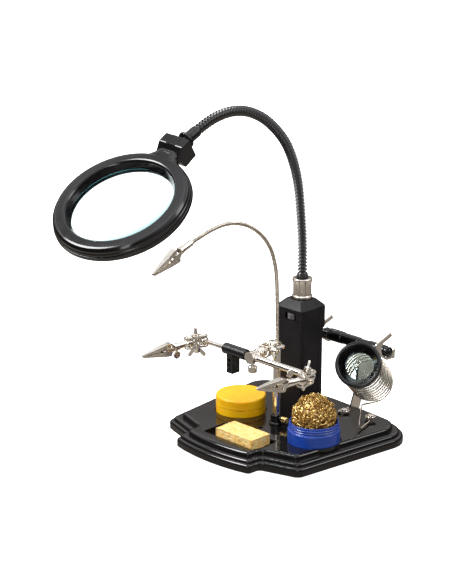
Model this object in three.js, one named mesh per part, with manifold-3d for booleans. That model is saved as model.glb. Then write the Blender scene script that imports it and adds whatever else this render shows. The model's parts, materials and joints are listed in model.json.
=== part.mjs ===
// Third-hand soldering station: a cast base with a lit magnifier, clips on a cross rod and on a thin arm,
// a coil stand and trays. Millimetres, +Z up, front towards -Y.
import * as THREE from 'three';
import { mergeVertices } from 'three/addons/utils/BufferGeometryUtils.js';
import ManifoldModule from 'manifold-3d';

const wasm = await ManifoldModule();
wasm.setup();
const { Manifold, Mesh: SolidMesh } = wasm;

const GAP = 0.3; // clearance between neighbouring pieces
const TAU = Math.PI * 2;
const deg = THREE.MathUtils.degToRad;
const v = (x, y, z) => new THREE.Vector3(x, y, z);
const X_AXIS = v(1, 0, 0);
const Y_AXIS = v(0, 1, 0);
const Z_AXIS = v(0, 0, 1);

const group = new THREE.Group();
group.name = 'helping_hands_station';

const COLOURS = {
  enamel: 0x141414, plastic: 0x2c2c2f, gloss: 0x17171a, steel: 0xc9c2b6, chrome: 0xd8d4cc, rubber: 0x1a1a1a,
  yellow: 0xf9cc1e, blue: 0x2341a5, brass: 0xc9a03c, sponge: 0xf6dc86, glass: 0xa9dfe2, led: 0xf3f2ea,
};

function addNode(name, geometry, slot) {
  const material = new THREE.MeshStandardMaterial({ color: COLOURS[slot] });
  material.name = slot;
  const mesh = new THREE.Mesh(geometry, material);
  mesh.name = name;
  group.add(mesh);
  return mesh;
}

// ---------- solid helpers ----------

function toSolid(geometry) {
  const bare = geometry.clone();
  bare.deleteAttribute('normal');
  bare.deleteAttribute('uv');
  const merged = mergeVertices(bare, 1e-4);
  return new Manifold(new SolidMesh({
    numProp: 3,
    vertProperties: new Float32Array(merged.attributes.position.array),
    triVerts: new Uint32Array(merged.index.array),
  }));
}

function toGeometry(solid) {
  const mesh = solid.getMesh();
  const geometry = new THREE.BufferGeometry();
  geometry.setAttribute('position', new THREE.BufferAttribute(new Float32Array(mesh.vertProperties), 3));
  geometry.setIndex(Array.from(mesh.triVerts));
  geometry.computeVertexNormals();
  return geometry;
}

const union = (...parts) => toGeometry(Manifold.union(parts.map(toSolid)));
const cut = (body, ...tools) => toGeometry(toSolid(body).subtract(Manifold.union(tools.map(toSolid))));
const intersect = (a, b) => toGeometry(toSolid(a).intersect(toSolid(b)));

// Ring-by-ring skin between loops of equal length, closed by a flat fan at each end.
function loft(rings) {
  const count = rings[0].length;
  const positions = rings.flat().flatMap((p) => [p.x, p.y, p.z]);
  const index = [];
  for (let r = 0; r + 1 < rings.length; r += 1) {
    for (let i = 0; i < count; i += 1) {
      const a = r * count + i;
      const b = r * count + ((i + 1) % count);
      index.push(a, b, b + count, a, b + count, a + count);
    }
  }
  const last = (rings.length - 1) * count;
  for (let i = 1; i + 1 < count; i += 1) {
    index.push(0, i + 1, i);
    index.push(last, last + i, last + i + 1);
  }
  const geometry = new THREE.BufferGeometry();
  geometry.setAttribute('position', new THREE.Float32BufferAttribute(positions, 3));
  geometry.setIndex(index);
  geometry.computeVertexNormals();
  return geometry;
}

// Solid of revolution about +Z from [radius, height] pairs running bottom to top.
function turned(profile, segments = 14) {
  const points = profile.map(([r, h]) => new THREE.Vector2(r, h));
  return new THREE.LatheGeometry(points, segments).rotateX(Math.PI / 2);
}

// Ring of revolution: the closed profile runs anticlockwise in (radius, height).
const turnedRing = (profile, segments) => turned([...profile, profile[0]], segments);

function cylinder(radius, from, to, segments = 12) {
  const axis = to.clone().sub(from);
  const geometry = new THREE.CylinderGeometry(radius, radius, axis.length(), segments);
  geometry.rotateX(Math.PI / 2);
  return placeAlong(geometry, from.clone().add(to).multiplyScalar(0.5), axis);
}

// Turns local +Z onto the direction and moves the origin to the point.
function placeAlong(geometry, point, direction) {
  const turn = new THREE.Quaternion().setFromUnitVectors(Z_AXIS, direction.clone().normalize());
  return geometry.applyQuaternion(turn).translate(point.x, point.y, point.z);
}

// Places a local frame: x, y and z columns, then the origin.
function placeFrame(geometry, origin, x, y, z) {
  return geometry.applyMatrix4(new THREE.Matrix4().makeBasis(x, y, z).setPosition(origin));
}

function block(low, high) {
  const size = high.clone().sub(low);
  const centre = low.clone().add(high).multiplyScalar(0.5);
  return new THREE.BoxGeometry(size.x, size.y, size.z).translate(centre.x, centre.y, centre.z);
}

const ball = (radius, at) => new THREE.SphereGeometry(radius, 12, 8).translate(at.x, at.y, at.z);

// Closed outline with a fillet of its own radius at every [x, y, radius] corner.
function filleted(corners, steps = 3) {
  const shape = [];
  corners.forEach(([x, y, radius], i) => {
    const here = new THREE.Vector2(x, y);
    const before = corners[(i + corners.length - 1) % corners.length];
    const after = corners[(i + 1) % corners.length];
    const inward = new THREE.Vector2(before[0] - x, before[1] - y).normalize();
    const outward = new THREE.Vector2(after[0] - x, after[1] - y).normalize();
    const half = inward.angleTo(outward) / 2;
    if (radius === 0) {
      shape.push(here);
      return;
    }
    const reach = radius / Math.tan(half);
    const bisector = inward.clone().add(outward).normalize();
    const centre = here.clone().addScaledVector(bisector, radius / Math.sin(half));
    const start = here.clone().addScaledVector(inward, reach).sub(centre);
    const end = here.clone().addScaledVector(outward, reach).sub(centre);
    for (let k = 0; k <= steps; k += 1) {
      const mix = start.clone().multiplyScalar(1 - k / steps).addScaledVector(end, k / steps);
      shape.push(mix.setLength(radius).add(centre));
    }
  });
  return shape;
}

const mirrored = (right) => [
  ...right,
  ...right.filter(([x]) => x > 0).reverse().map(([x, y, r]) => [-x, y, r]),
];

function extruded(points, depth, bevel = 0, holes = []) {
  const shape = new THREE.Shape(points);
  shape.holes = holes.map((loop) => new THREE.Path(loop));
  return new THREE.ExtrudeGeometry(shape, {
    depth: depth - 2 * bevel, bevelEnabled: bevel > 0, bevelThickness: bevel, bevelSize: bevel,
    bevelOffset: -bevel, bevelSegments: 1, steps: 1, curveSegments: 8,
  }).translate(0, 0, bevel);
}

function circlePoints(radius, count, cx = 0, cy = 0, phase = 0) {
  return Array.from({ length: count }, (_, i) => {
    const angle = phase + (TAU * i) / count;
    return new THREE.Vector2(cx + radius * Math.cos(angle), cy + radius * Math.sin(angle));
  });
}

// Round bar swept along a curve, with domed ends of half a bar's depth when asked.
function bar(curve, radius, segments, sides, domeStart = false, domeEnd = false) {
  const frames = curve.computeFrenetFrames(segments, false);
  const rings = [];
  const ring = (at, k, r, shift) => circlePoints(r, sides).map((c) => at.clone()
    .addScaledVector(frames.normals[k], c.x).addScaledVector(frames.binormals[k], c.y)
    .addScaledVector(frames.tangents[k], shift));
  const domeAngles = [80, 55, 30].map(deg);
  if (domeStart) {
    domeAngles.forEach((a) => {
      rings.push(ring(curve.getPointAt(0), 0, radius * Math.cos(a), radius * (1 - Math.sin(a))));
    });
  }
  for (let k = 0; k <= segments; k += 1) {
    const shift = (domeStart && k === 0 ? radius : 0) - (domeEnd && k === segments ? radius : 0);
    rings.push(ring(curve.getPointAt(k / segments), k, radius, shift));
  }
  if (domeEnd) {
    const last = curve.getPointAt(1);
    [...domeAngles].reverse().forEach((a) => {
      rings.push(ring(last, segments, radius * Math.cos(a), -radius * (1 - Math.sin(a))));
    });
  }
  return loft(rings);
}

const smooth = (points) => new THREE.CatmullRomCurve3(points, false, 'centripetal');

// Part of a curve between two shares of its length.
function portion(curve, from, to, count = 24) {
  const at = (i) => curve.getPointAt(from + ((to - from) * i) / count);
  return smooth(Array.from({ length: count + 1 }, (_, i) => at(i)));
}

// ---------- base ----------

const PAD_TOP = 1.5;
const FLANGE_TOP = 9.5;
const DECK = 17; // height of the plateau that everything stands on
const RECESS_FLOOR = 13;

const FLANGE = mirrored([
  [0, -86.8, 0], [16.5, -86, 0], [31.5, -84, 0], [45.2, -80.9, 4], [45.2, -67.6, 7], [81, -56.4, 7],
  [97.4, 76, 24], [60, 78, 0], [0, 82.5, 0],
]);
const STEP = mirrored([
  [0, -83.8, 0], [16.2, -83, 0], [30.4, -81.2, 0], [42.8, -78.4, 4], [42.8, -65, 7], [78, -53.8, 7],
  [93.8, 73.6, 22], [56, 75.8, 0], [0, 79.6, 0],
]);
const PLATEAU = mirrored([
  [0, -78.6, 0], [15.4, -77.8, 0], [27.8, -76, 0], [38, -73.3, 4], [38, -59.9, 7], [71.3, -49.2, 6],
  [86.7, 69.5, 19], [40, 73.8, 0], [0, 76, 0],
]);
const PAD = mirrored([
  [0, -83.5, 0], [42, -78.5, 4], [42.5, -66, 5], [78.5, -54.5, 7], [94, 73, 22], [58, 75, 0], [0, 79, 0],
]);
const POCKET = mirrored([[34, -69, 4], [34, -55, 5], [68, -45, 6], [80, 54, 10], [62, 70, 8]]);

const FLUX = { x: -40.6, y: -4.5, r: 22.5 };
const WOOL = { x: 55, y: -11, r: 23 };
const TRAY = [[-26, -66, 3], [37, -66, 3], [37, -37.5, 3], [-26, -37.5, 3]];
const COIL_SCREWS = [[32, 54], [60.7, 56.8]];
const POST = { x: 7.3, y: -8, r: 3.5 };

const disc = (x, y, radius, low, high, count) => cylinder(radius, v(x, y, low), v(x, y, high), count);
const castingBlank = union(
  extruded(filleted(FLANGE), FLANGE_TOP - PAD_TOP - 0.1, 2).translate(0, 0, PAD_TOP + 0.1),
  extruded(filleted(STEP), 7.6, 1.8).translate(0, 0, 5),
  extruded(filleted(PLATEAU), DECK - 5, 2).translate(0, 0, 5),
);
addNode('base_casting', cut(
  castingBlank,
  extruded(filleted(POCKET), 6.5),
  disc(FLUX.x, FLUX.y, FLUX.r + 0.8, RECESS_FLOOR, DECK + 1, 30),
  disc(WOOL.x, WOOL.y, WOOL.r + 0.8, RECESS_FLOOR, DECK + 1, 30),
  extruded(filleted(TRAY), 6).translate(0, 0, RECESS_FLOOR - 0.5),
  disc(3.8, -24, 2, DECK - 5, DECK + 1, 12),
  disc(POST.x, POST.y, 2.6, DECK - 5, DECK + 1, 12),
  ...COIL_SCREWS.map(([x, y]) => disc(x, y, 1.9, DECK - 6, DECK + 1, 12)),
), 'enamel');
addNode('anti_slip_pad', extruded(filleted(PAD), PAD_TOP), 'rubber');

// ---------- post with its socket ----------

const POST_BALL = v(POST.x, -11, 90.6);
const BALL_R = 4.9;
const ARM_SOCKET_TOP = 95;

addNode('post_socket', cut(
  union(
    turned([[0, DECK + 0.05], [6.6, DECK + 0.05], [6.6, DECK + 1.6], [5.4, DECK + 2.4],
      [5.4, DECK + 9], [0, DECK + 9]])
      .translate(POST.x, POST.y, 0),
    cylinder(2.6, v(POST.x + 3, POST.y, DECK + 6), v(POST.x + 7, POST.y, DECK + 6)),
  ),
  disc(POST.x, POST.y, POST.r + GAP, DECK + 1, DECK + 12, 20),
  cylinder(1.5, v(POST.x + 3.2, POST.y, DECK + 6), v(POST.x + 9, POST.y, DECK + 6), 12),
), 'gloss');
addNode('post_thumbscrew', placeAlong(turned([
  [0, 4.6], [1.2, 4.6], [1.2, 7.3], [2.9, 7.3], [2.9, 12.4], [2.3, 12.9], [0, 12.9],
], 10), v(POST.x, POST.y, DECK + 6), X_AXIS), 'brass');
addNode('post', cut(
  union(
    turned([[0, DECK + 1.3], [POST.r, DECK + 1.3], [POST.r, 93], [3, 94], [3, ARM_SOCKET_TOP],
      [0, ARM_SOCKET_TOP]])
      .translate(POST.x, POST.y, 0),
    ball(BALL_R, POST_BALL),
  ),
  disc(POST.x, POST.y, 2.2, 84, 97, 12),
), 'chrome');

// ---------- battery column ----------

const COLUMN = { y: 29.5, halfX: 16.5, halfY: 15.75, shoulder: 117, top: 123.6, wall: 2 };
const SEAM_Y = 34.1;
const HOLLOW_BACK_Y = 40.4; // the back is set in below the overhang that carries the neck
const OVERHANG_Z = 97;
const NECK_Y = 31;

function columnRing(inset, z, radius) {
  const [a, b] = [COLUMN.halfX - inset, COLUMN.halfY - inset];
  const corners = [[a, -b, radius], [a, b, radius], [-a, b, radius], [-a, -b, radius]];
  return filleted(corners, 3).map((p) => v(p.x, p.y + COLUMN.y, z));
}
const columnOuter = loft([
  columnRing(0, DECK + 0.1, 3), columnRing(0, COLUMN.shoulder, 3),
  columnRing(0.8, COLUMN.shoulder + 1, 3), columnRing(6.2, COLUMN.top, 3),
]);
const columnInner = loft([
  columnRing(COLUMN.wall, DECK + 3, 1.5), columnRing(COLUMN.wall, COLUMN.shoulder - 1, 1.5),
  columnRing(8, COLUMN.top - 2.6, 1.5),
]);
const backSpace = (y, top) => block(v(-30, y, DECK - 5), v(30, 60, top));
const columnShell = cut(
  columnOuter,
  cut(columnInner, backSpace(HOLLOW_BACK_Y - COLUMN.wall, OVERHANG_Z + COLUMN.wall)),
  backSpace(HOLLOW_BACK_Y, OVERHANG_Z),
  disc(0, NECK_Y, 5.2, 115, 126, 16),
);
const FRONT_Y = COLUMN.y - COLUMN.halfY;
const SWITCH = { x: 1.5, z: 110 };
addNode('housing_front', cut(
  intersect(columnShell, block(v(-30, 0, 0), v(30, SEAM_Y - 0.15, 140))),
  block(v(SWITCH.x - 13.4, FRONT_Y - 1, SWITCH.z - 5), v(SWITCH.x + 13.4, FRONT_Y + 0.8, SWITCH.z + 5)),
  block(v(SWITCH.x - 6.5, FRONT_Y - 1, SWITCH.z - 3), v(SWITCH.x + 6.5, FRONT_Y + 3, SWITCH.z + 3)),
), 'plastic');
const COVER = { half: 11, low: 24, high: 76 };
addNode('housing_back', cut(
  intersect(columnShell, block(v(-30, SEAM_Y + 0.15, 0), v(30, 60, 140))),
  block(v(-COVER.half, HOLLOW_BACK_Y - 4, COVER.low), v(COVER.half, HOLLOW_BACK_Y + 2, COVER.high)),
), 'plastic');
addNode('battery_cover', union(
  block(
    v(-COVER.half + GAP, HOLLOW_BACK_Y - 1.8, COVER.low + GAP),
    v(COVER.half - GAP, HOLLOW_BACK_Y, COVER.high - GAP),
  ),
  ...[60, 63, 66, 69].map((z) => block(v(-6, HOLLOW_BACK_Y - 0.2, z), v(6, HOLLOW_BACK_Y + 0.6, z + 1.2))),
), 'plastic');
addNode('battery_pack', union(
  block(v(-10.5, 18, 24), v(10.5, 37.6, 74)),
  ...[-5.2, 5.2].map((x) => disc(x, 28, 2.6, 73.8, 75.2, 10)),
), 'gloss');
addNode('switch_slider', union(
  block(v(SWITCH.x - 3.4, FRONT_Y + 0.9, SWITCH.z - 2.6), v(SWITCH.x + 3.4, FRONT_Y + 3.6, SWITCH.z + 2.6)),
  block(v(SWITCH.x - 1.6, FRONT_Y - 0.4, SWITCH.z - 2), v(SWITCH.x + 1.6, FRONT_Y + 1.1, SWITCH.z + 2)),
), 'steel');

// ---------- lamp gooseneck ----------

const FERRULE_R = 8.3;
addNode('gooseneck_ferrule', cut(
  turned([
    [0, 124.1], [9.2, 124.1], [9.2, 126], [FERRULE_R, 126.6], [FERRULE_R, 137.6], [9.1, 139.4],
    [9.1, 141.6], [8.4, 142.2], [0, 142.2],
  ], 18).translate(0, NECK_Y, 0),
  disc(0, NECK_Y, 5.3, 129, 145, 20),
  disc(0, NECK_Y, 3.4, 120, 145, 16),
), 'steel');

const LAMP_R = 4.4;
const LAMP_PATH = smooth([
  v(0, NECK_Y, 130), v(0, 30.9, 150), v(0, 30.4, 174), v(0, 27.9, 201.7), v(0, 23.6, 230),
  v(0, 16.5, 251.5),
  v(0, 7.4, 267.8), v(0, -5.5, 281.8), v(0, -20.5, 293.2), v(0, -39.5, 301.6), v(0, -58.3, 304.2),
  v(0, -76, 302), v(0, -90, 297.3), v(0, -100.5, 292.6),
]);
const LAMP_SPLIT = 0.55; // share of the length where the neck is shown to bend
const LAMP_BREAK = 0.15 / LAMP_PATH.getLength();
addNode('lamp_gooseneck_lower', union(
  bar(portion(LAMP_PATH, 0, LAMP_SPLIT - LAMP_BREAK), LAMP_R, 13, 10, false, true),
  disc(0, NECK_Y, 5, 129.5, 146, 18),
), 'rubber');

const HEAD_ROLL = deg(8);
const HEAD_TILT = deg(29.5);
const HEAD_YAW = deg(4.5);
const HINGE = v(0, -119.6, 283.5);
const lampEnd = LAMP_PATH.getPointAt(1);
const lampEndDir = LAMP_PATH.getTangentAt(1);
const headN = Z_AXIS.clone().applyAxisAngle(X_AXIS, HEAD_TILT).applyAxisAngle(Y_AXIS, HEAD_ROLL);
const headX = X_AXIS.clone().applyAxisAngle(Y_AXIS, HEAD_ROLL).applyAxisAngle(headN, HEAD_YAW);
const headY = new THREE.Vector3().crossVectors(headN, headX);
const acrossHinge = (radius, half, count) => cylinder(
  radius,
  HINGE.clone().addScaledVector(headX, -half),
  HINGE.clone().addScaledVector(headX, half),
  count,
);
const fromHinge = (distance) => HINGE.clone().lerp(lampEnd, distance / HINGE.distanceTo(lampEnd));
addNode('lamp_gooseneck_upper', cut(
  union(
    bar(portion(LAMP_PATH, LAMP_SPLIT + LAMP_BREAK, 1), LAMP_R, 11, 10, true, false),
    cylinder(5.1, LAMP_PATH.getPointAt(0.955), lampEnd.clone().addScaledVector(lampEndDir, 3.4), 16),
    cylinder(7.2, fromHinge(13.6), fromHinge(10.8), 18),
    cylinder(3.4, lampEnd, HINGE, 14),
    acrossHinge(5.6, 3.6, 18),
  ),
  acrossHinge(2.3, 9, 14),
), 'rubber');

// ---------- magnifier head ----------

const HEAD_OFFSET = v(0, -69.9, 3.6); // ring centre from the hinge in the head's own frame
const headCentre = HINGE.clone()
  .addScaledVector(headY, HEAD_OFFSET.y)
  .addScaledVector(headN, HEAD_OFFSET.z);
const onHead = (geometry) => placeFrame(geometry, headCentre, headX, headY, headN);

const RING_SIDES = 40;
const LENS_R = 45;
const KNUCKLE = { length: 25.4, lugRoom: 6.3, slot: 3.9, pin: 2.2 };
const KNUCKLE_SIDE = [
  [75.7, 5, 0.8], [66, 4.8, 0.8], [57.6, -2.9, 0.8], [63.1, -14.2, 0.8], [77, -12.8, 0.8],
];
const hingeInHead = v(0, -HEAD_OFFSET.y, -HEAD_OFFSET.z);
const acrossKnuckle = (radius, length, count) => new THREE.CylinderGeometry(radius, radius, length, count)
  .rotateZ(Math.PI / 2).translate(hingeInHead.x, hingeInHead.y, hingeInHead.z);
const knuckleBlock = extruded(filleted(KNUCKLE_SIDE, 2), KNUCKLE.length)
  .translate(0, 0, -KNUCKLE.length / 2).rotateY(Math.PI / 2).rotateX(Math.PI / 2);
const neckBridge = block(v(-12, 52, -5.4), v(12, 62, 1.8));
const lugSlot = block(
  v(-KNUCKLE.slot, hingeInHead.y, -30),
  v(KNUCKLE.slot, hingeInHead.y + 20, hingeInHead.z + 5.5),
);
const topRing = turnedRing([
  [42.6, -5.6], [57, -5.6], [57, -3], [56.2, -0.8], [54.2, 1.2], [50.5, 2], [46.4, 1.6], [45, 0.6],
], RING_SIDES);
addNode('lens_frame_top', onHead(cut(union(topRing, neckBridge, knuckleBlock), lugSlot,
  acrossKnuckle(KNUCKLE.lugRoom, 2 * KNUCKLE.slot, 20),
  acrossKnuckle(KNUCKLE.pin + 0.1, KNUCKLE.length - 2.4, 14),
  turned([[0, -40], [42.6, -40], [42.6, -5.6], [45, 0.6], [46, 10], [0, 10]], RING_SIDES),
  turned([[0, -5.6], [58, -5.6], [58, -40], [0, -40]].reverse(), RING_SIDES))), 'gloss');
addNode('lens_frame_bottom', onHead(turnedRing([
  [43, -11.4], [46.5, -11.6], [46.5, -9.7], [53.5, -9.7], [53.5, -11.6], [56, -11.2], [57.6, -9.2],
  [57.6, -5.9],
  [45.3, -5.9], [45.3, -8.6], [42.6, -8.6],
], RING_SIDES)), 'gloss');
addNode('magnifier_lens', onHead(turned([
  [0, -11.4], [24, -10.5], [41.5, -8.4], [LENS_R, -8.3], [LENS_R, -6.1], [41.5, -5.9], [24, -3.3],
  [0, -2.3],
], RING_SIDES)), 'glass');
addNode('led_ring', onHead(turnedRing([[46.9, -11.5], [53.1, -11.5], [53.1, -10],
  [46.9, -10]], 30)), 'led');
addNode('head_hinge_pin', onHead(acrossKnuckle(KNUCKLE.pin, KNUCKLE.length - 3.4, 14)), 'steel');

// ---------- ball-and-plate joints, wing nuts and clips ----------

const PLATE_IN = 3.9; // inner face of a joint plate from the ball's centre
const PLATE_T = 1.2;
const PLATE_W = 9;

// Local frame of a plate joint: x runs from ball to ball, z is the screw, origin midway.
function plateJoint(prefix, names, ballA, ballB, screwDir, nutAbove, screwReach) {
  const x = ballB.clone().sub(ballA).normalize();
  const z = screwDir.clone().addScaledVector(x, -screwDir.dot(x)).normalize();
  const y = new THREE.Vector3().crossVectors(z, x);
  const middle = ballA.clone().add(ballB).multiplyScalar(0.5);
  const half = ballA.distanceTo(ballB) / 2;
  const place = (geometry) => placeFrame(geometry, middle, x, y, z);
  const end = half + PLATE_W / 2;
  const outline = filleted([[end, -4.5, 4], [end, 4.5, 4], [-end, 4.5, 4], [-end, -4.5, 4]], 2);
  const holes = [circlePoints(3.5, 10, half), circlePoints(3.5, 10, -half), circlePoints(2, 8)];
  const plate = () => extruded(outline, PLATE_T, 0, holes);
  addNode(`${prefix}${names[0]}`, place(plate().translate(0, 0, PLATE_IN)), 'steel');
  addNode(`${prefix}${names[1]}`, place(plate().translate(0, 0, -PLATE_IN - PLATE_T)), 'steel');
  const side = nutAbove ? 1 : -1;
  const screw = turned([
    [0, -PLATE_IN - PLATE_T - screwReach], [1, -PLATE_IN - PLATE_T - screwReach],
    [1.6, -PLATE_IN - PLATE_T - screwReach + 1],
    [1.6, -PLATE_IN - PLATE_T - 2.4], [2.6, -PLATE_IN - PLATE_T - 2.4], [2.6, -PLATE_IN - PLATE_T - GAP],
    [1.6, -PLATE_IN - PLATE_T - GAP], [1.6, 10.6], [1, 11.2], [0, 11.2],
  ], 12);
  const blade = (mirror) => extruded(filleted([
    [2.2, 0.6, 0], [4.6, 2, 1], [8.4, 6.6, 1.6], [6.6, 9.6, 1.6], [2.9, 5, 0.8],
  ], 2), 1.8).translate(0, 0, -0.9).rotateX(Math.PI / 2).rotateZ(mirror ? Math.PI : 0);
  const nut = cut(
    union(turned([[0, 0], [3.6, 0], [3.6, 1], [2.9, 4.6], [0, 4.6]], 14), blade(false), blade(true)),
    disc(0, 0, 1.9, -1, 6, 12),
  ).rotateZ(deg(25)).translate(0, 0, PLATE_IN + PLATE_T + GAP);
  if (side < 0) {
    screw.rotateX(Math.PI);
    nut.rotateX(Math.PI);
  }
  addNode(`${prefix}clamp_screw`, place(screw), 'steel');
  addNode(`${prefix}wing_nut`, place(nut), 'steel');
}

const CLIP_LENGTH = 32;

// One crocodile clip. Local frame: x towards the tip, z up; the origin is the end of its sleeve's collar.
function clipJaws(prefix, place) {
  const outline = (back, half, tip, tipHalf) => [
    new THREE.Vector2(back, -half), new THREE.Vector2(13, -half), new THREE.Vector2(tip, -tipHalf),
    new THREE.Vector2(tip, tipHalf), new THREE.Vector2(13, half), new THREE.Vector2(back, half),
  ];
  const taper = extruded(outline(-6, 3, CLIP_LENGTH, 1.1), 30).translate(0, 0, -15);
  const innerTaper = extruded(outline(-8, 2.2, 27, 0.8), 30).translate(0, 0, -15);
  const teeth = [];
  for (let x = 29; x >= 16; x -= 1.3) {
    teeth.push([x, 0.95, 0], [x - 0.65, 0.2, 0]);
  }
  const side = (corners) => extruded(filleted(corners, 2), 8).translate(0, 0, -4).rotateX(Math.PI / 2);
  const lower = side([
    [32, -0.2, 0], [31, -1.2, 0], [13, -4.9, 3], [6, -6.2, 1], [2.6, -6.3, 1.6], [2.8, -3.6, 1],
    [0.4, -2.4, 0],
    [0.4, 0.8, 0], [8, 0.8, 0], [10.5, -0.8, 0], [14, -1.2, 0], [14.6, -0.3, 0], [31.4, 0, 0],
  ]);
  const upper = side([
    [32, 0.4, 0], ...teeth, [13.4, 1.4, 0], [12.6, 2.2, 0], [9.5, 1.6, 0], [6.4, 2.2, 0], [2.6, 3.6, 0.3],
    [2.4, 5.6, 0.8], [6, 5.6, 1], [14, 4.4, 4], [31.2, 1.3, 0],
  ]);
  const channelUp = side([[28, -6, 0], [28, 0.7, 0], [13, 3.3, 1], [8, 4.3, 1], [5, 4.6, 0],
    [1, 4.6, 0], [1, -6, 0]]);
  const channelDown = side([
    [28, 6, 0], [28, -0.6, 0], [13, -3.8, 1], [7, -5, 0.6], [4.2, -5, 0.4], [3.8, -2.6, 0.4],
    [-2, -1.5, 0], [-2, 6, 0],
  ]);
  const rivetHole = cylinder(1.2, v(6.6, -9, -3), v(6.6, 9, -3), 12);
  const upperJaw = cut(intersect(upper, taper), intersect(channelUp, innerTaper));
  addNode(`${prefix}upper_jaw`, place(upperJaw), 'steel');
  addNode(`${prefix}lower_jaw`, place(cut(
    intersect(lower, taper),
    intersect(channelDown, innerTaper),
    rivetHole,
  )), 'steel');
}

function clipFrame(origin, direction, up = Z_AXIS) {
  const x = direction.clone().normalize();
  const z = up.clone().addScaledVector(x, -up.dot(x)).normalize();
  const y = new THREE.Vector3().crossVectors(z, x);
  return (geometry) => placeFrame(geometry, origin, x, y, z);
}

// Ball-ended sleeve that carries a clip, with its thumbscrew above or below the collar.
const SLEEVE = { length: 16, screw: 13.2 };
function clipArm(prefix, ballAt, direction, screwUp) {
  const along = direction.clone().normalize();
  const sleeve = placeAlong(turned([
    [0, -BALL_R], [2.6, -4.1], [4.3, -2.3], [BALL_R, 0], [4.3, 2.3], [2.4, 4.3], [2, 5], [2, 6],
    [3, 6.2], [3, 10.2],
    [3.6, 10.4], [3.6, SLEEVE.length - 0.6], [3.1, SLEEVE.length], [0, SLEEVE.length],
  ], 16), ballAt, along);
  const collarAt = ballAt.clone().addScaledVector(along, SLEEVE.screw);
  const up = Z_AXIS.clone().addScaledVector(along, -along.z).normalize().multiplyScalar(screwUp ? 1 : -1);
  const reach = (h) => collarAt.clone().addScaledVector(up, h);
  addNode(`${prefix}clip_sleeve`, cut(sleeve, cylinder(1.5, reach(1.6), reach(6), 10)), 'steel');
  const paddle = extruded(circlePoints(3.6, 16, 0, 7.9), 1.6, 0.3).translate(0, 0, -0.8);
  const screw = union(paddle, cylinder(1.2, v(0, 2, 0), v(0, 5.5, 0), 10));
  addNode(`${prefix}clip_thumbscrew`, placeFrame(screw, collarAt, along, up,
    new THREE.Vector3().crossVectors(along, up)), 'steel');
  clipJaws(prefix, clipFrame(ballAt.clone().addScaledVector(along, SLEEVE.length + GAP), along));
}

// ---------- centre clamp, rod clamp and cross rod ----------

// The rod is thicker from inside the tool holder to just short of the right-hand ball.
const ROD = { y: -38.5, z: 87, r: 2.2, thickR: 3.1, thickFrom: -14, thickTo: 66, left: -54, right: 74.5 };
const alongRod = (radius, from, to, count) => (
  cylinder(radius, v(from, ROD.y, ROD.z), v(to, ROD.y, ROD.z), count)
);
const FRONT_BALL = v(POST.x, -26.6, 88.8);
plateJoint('centre_', ['clamp_plate_a', 'clamp_plate_b'], POST_BALL, FRONT_BALL, X_AXIS, true, 4);
const rodClampAt = v(POST.x, ROD.y, ROD.z);
addNode('rod_clamp', cut(
  union(
    cylinder(5.4, v(POST.x, ROD.y - 4.6, ROD.z), v(POST.x, ROD.y + 4.2, ROD.z), 22),
    cylinder(2, rodClampAt, FRONT_BALL, 12),
    ball(BALL_R, FRONT_BALL),
    cylinder(2.6, rodClampAt, v(POST.x, ROD.y, ROD.z - 6), 12),
  ),
  alongRod(ROD.thickR + GAP, -20, 30, 16),
  disc(POST.x, ROD.y, 1.5, ROD.z - 9, ROD.z - 2, 12),
), 'steel');
addNode('rod_clamp_thumbscrew', turned([
  [0, -14.2], [3.2, -14.2], [4, -13.4], [4, -8.6], [3.4, -8], [1.2, -8], [1.2, -3.5], [0, -3.5],
], 16).translate(POST.x, ROD.y, ROD.z), 'steel');
addNode('cross_rod', union(
  alongRod(ROD.r, ROD.left, ROD.right, 16),
  alongRod(ROD.thickR, ROD.thickFrom, ROD.thickTo, 16),
  ball(BALL_R, v(ROD.left, ROD.y, ROD.z)),
  ball(BALL_R, v(ROD.right, ROD.y, ROD.z)),
), 'chrome');
const HOLDER = { from: -26, to: 0, x: -16.5 };
addNode('tool_holder', cut(
  union(
    alongRod(5, HOLDER.from, HOLDER.to, 18),
    block(v(HOLDER.x - 3.6, ROD.y - 4.6, ROD.z - 20), v(HOLDER.x + 3.6, ROD.y + 4.6, ROD.z - 2)),
  ),
  alongRod(ROD.r + GAP, -40, 10, 16),
  alongRod(ROD.thickR + GAP, ROD.thickFrom - GAP, 10, 16),
  ...[[1.5, 8], [1.2, 12.5], [0.9, 16.5]].map(([r, drop]) => (
    cylinder(r, v(HOLDER.x, ROD.y - 6, ROD.z - drop), v(HOLDER.x, ROD.y + 6, ROD.z - drop), 10))),
), 'rubber');

const LEFT_BALLS = [v(ROD.left, ROD.y, ROD.z), v(-59.6, -50.6, 86.2)];
plateJoint('left_', ['plate_top', 'plate_bottom'], ...LEFT_BALLS, Z_AXIS, false, 8.4);
clipArm('left_', LEFT_BALLS[1], v(-0.2, -0.975, -0.08), false);
const RIGHT_BALLS = [v(ROD.right, ROD.y, ROD.z), v(77.4, -51.8, 87.6)];
plateJoint('right_', ['plate_top', 'plate_bottom'], ...RIGHT_BALLS, v(0.2, 0, 1), true, 6.4);
clipArm('right_', RIGHT_BALLS[1], v(-0.1, -0.99, 0.07), true);

// ---------- thin arm ----------

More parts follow.
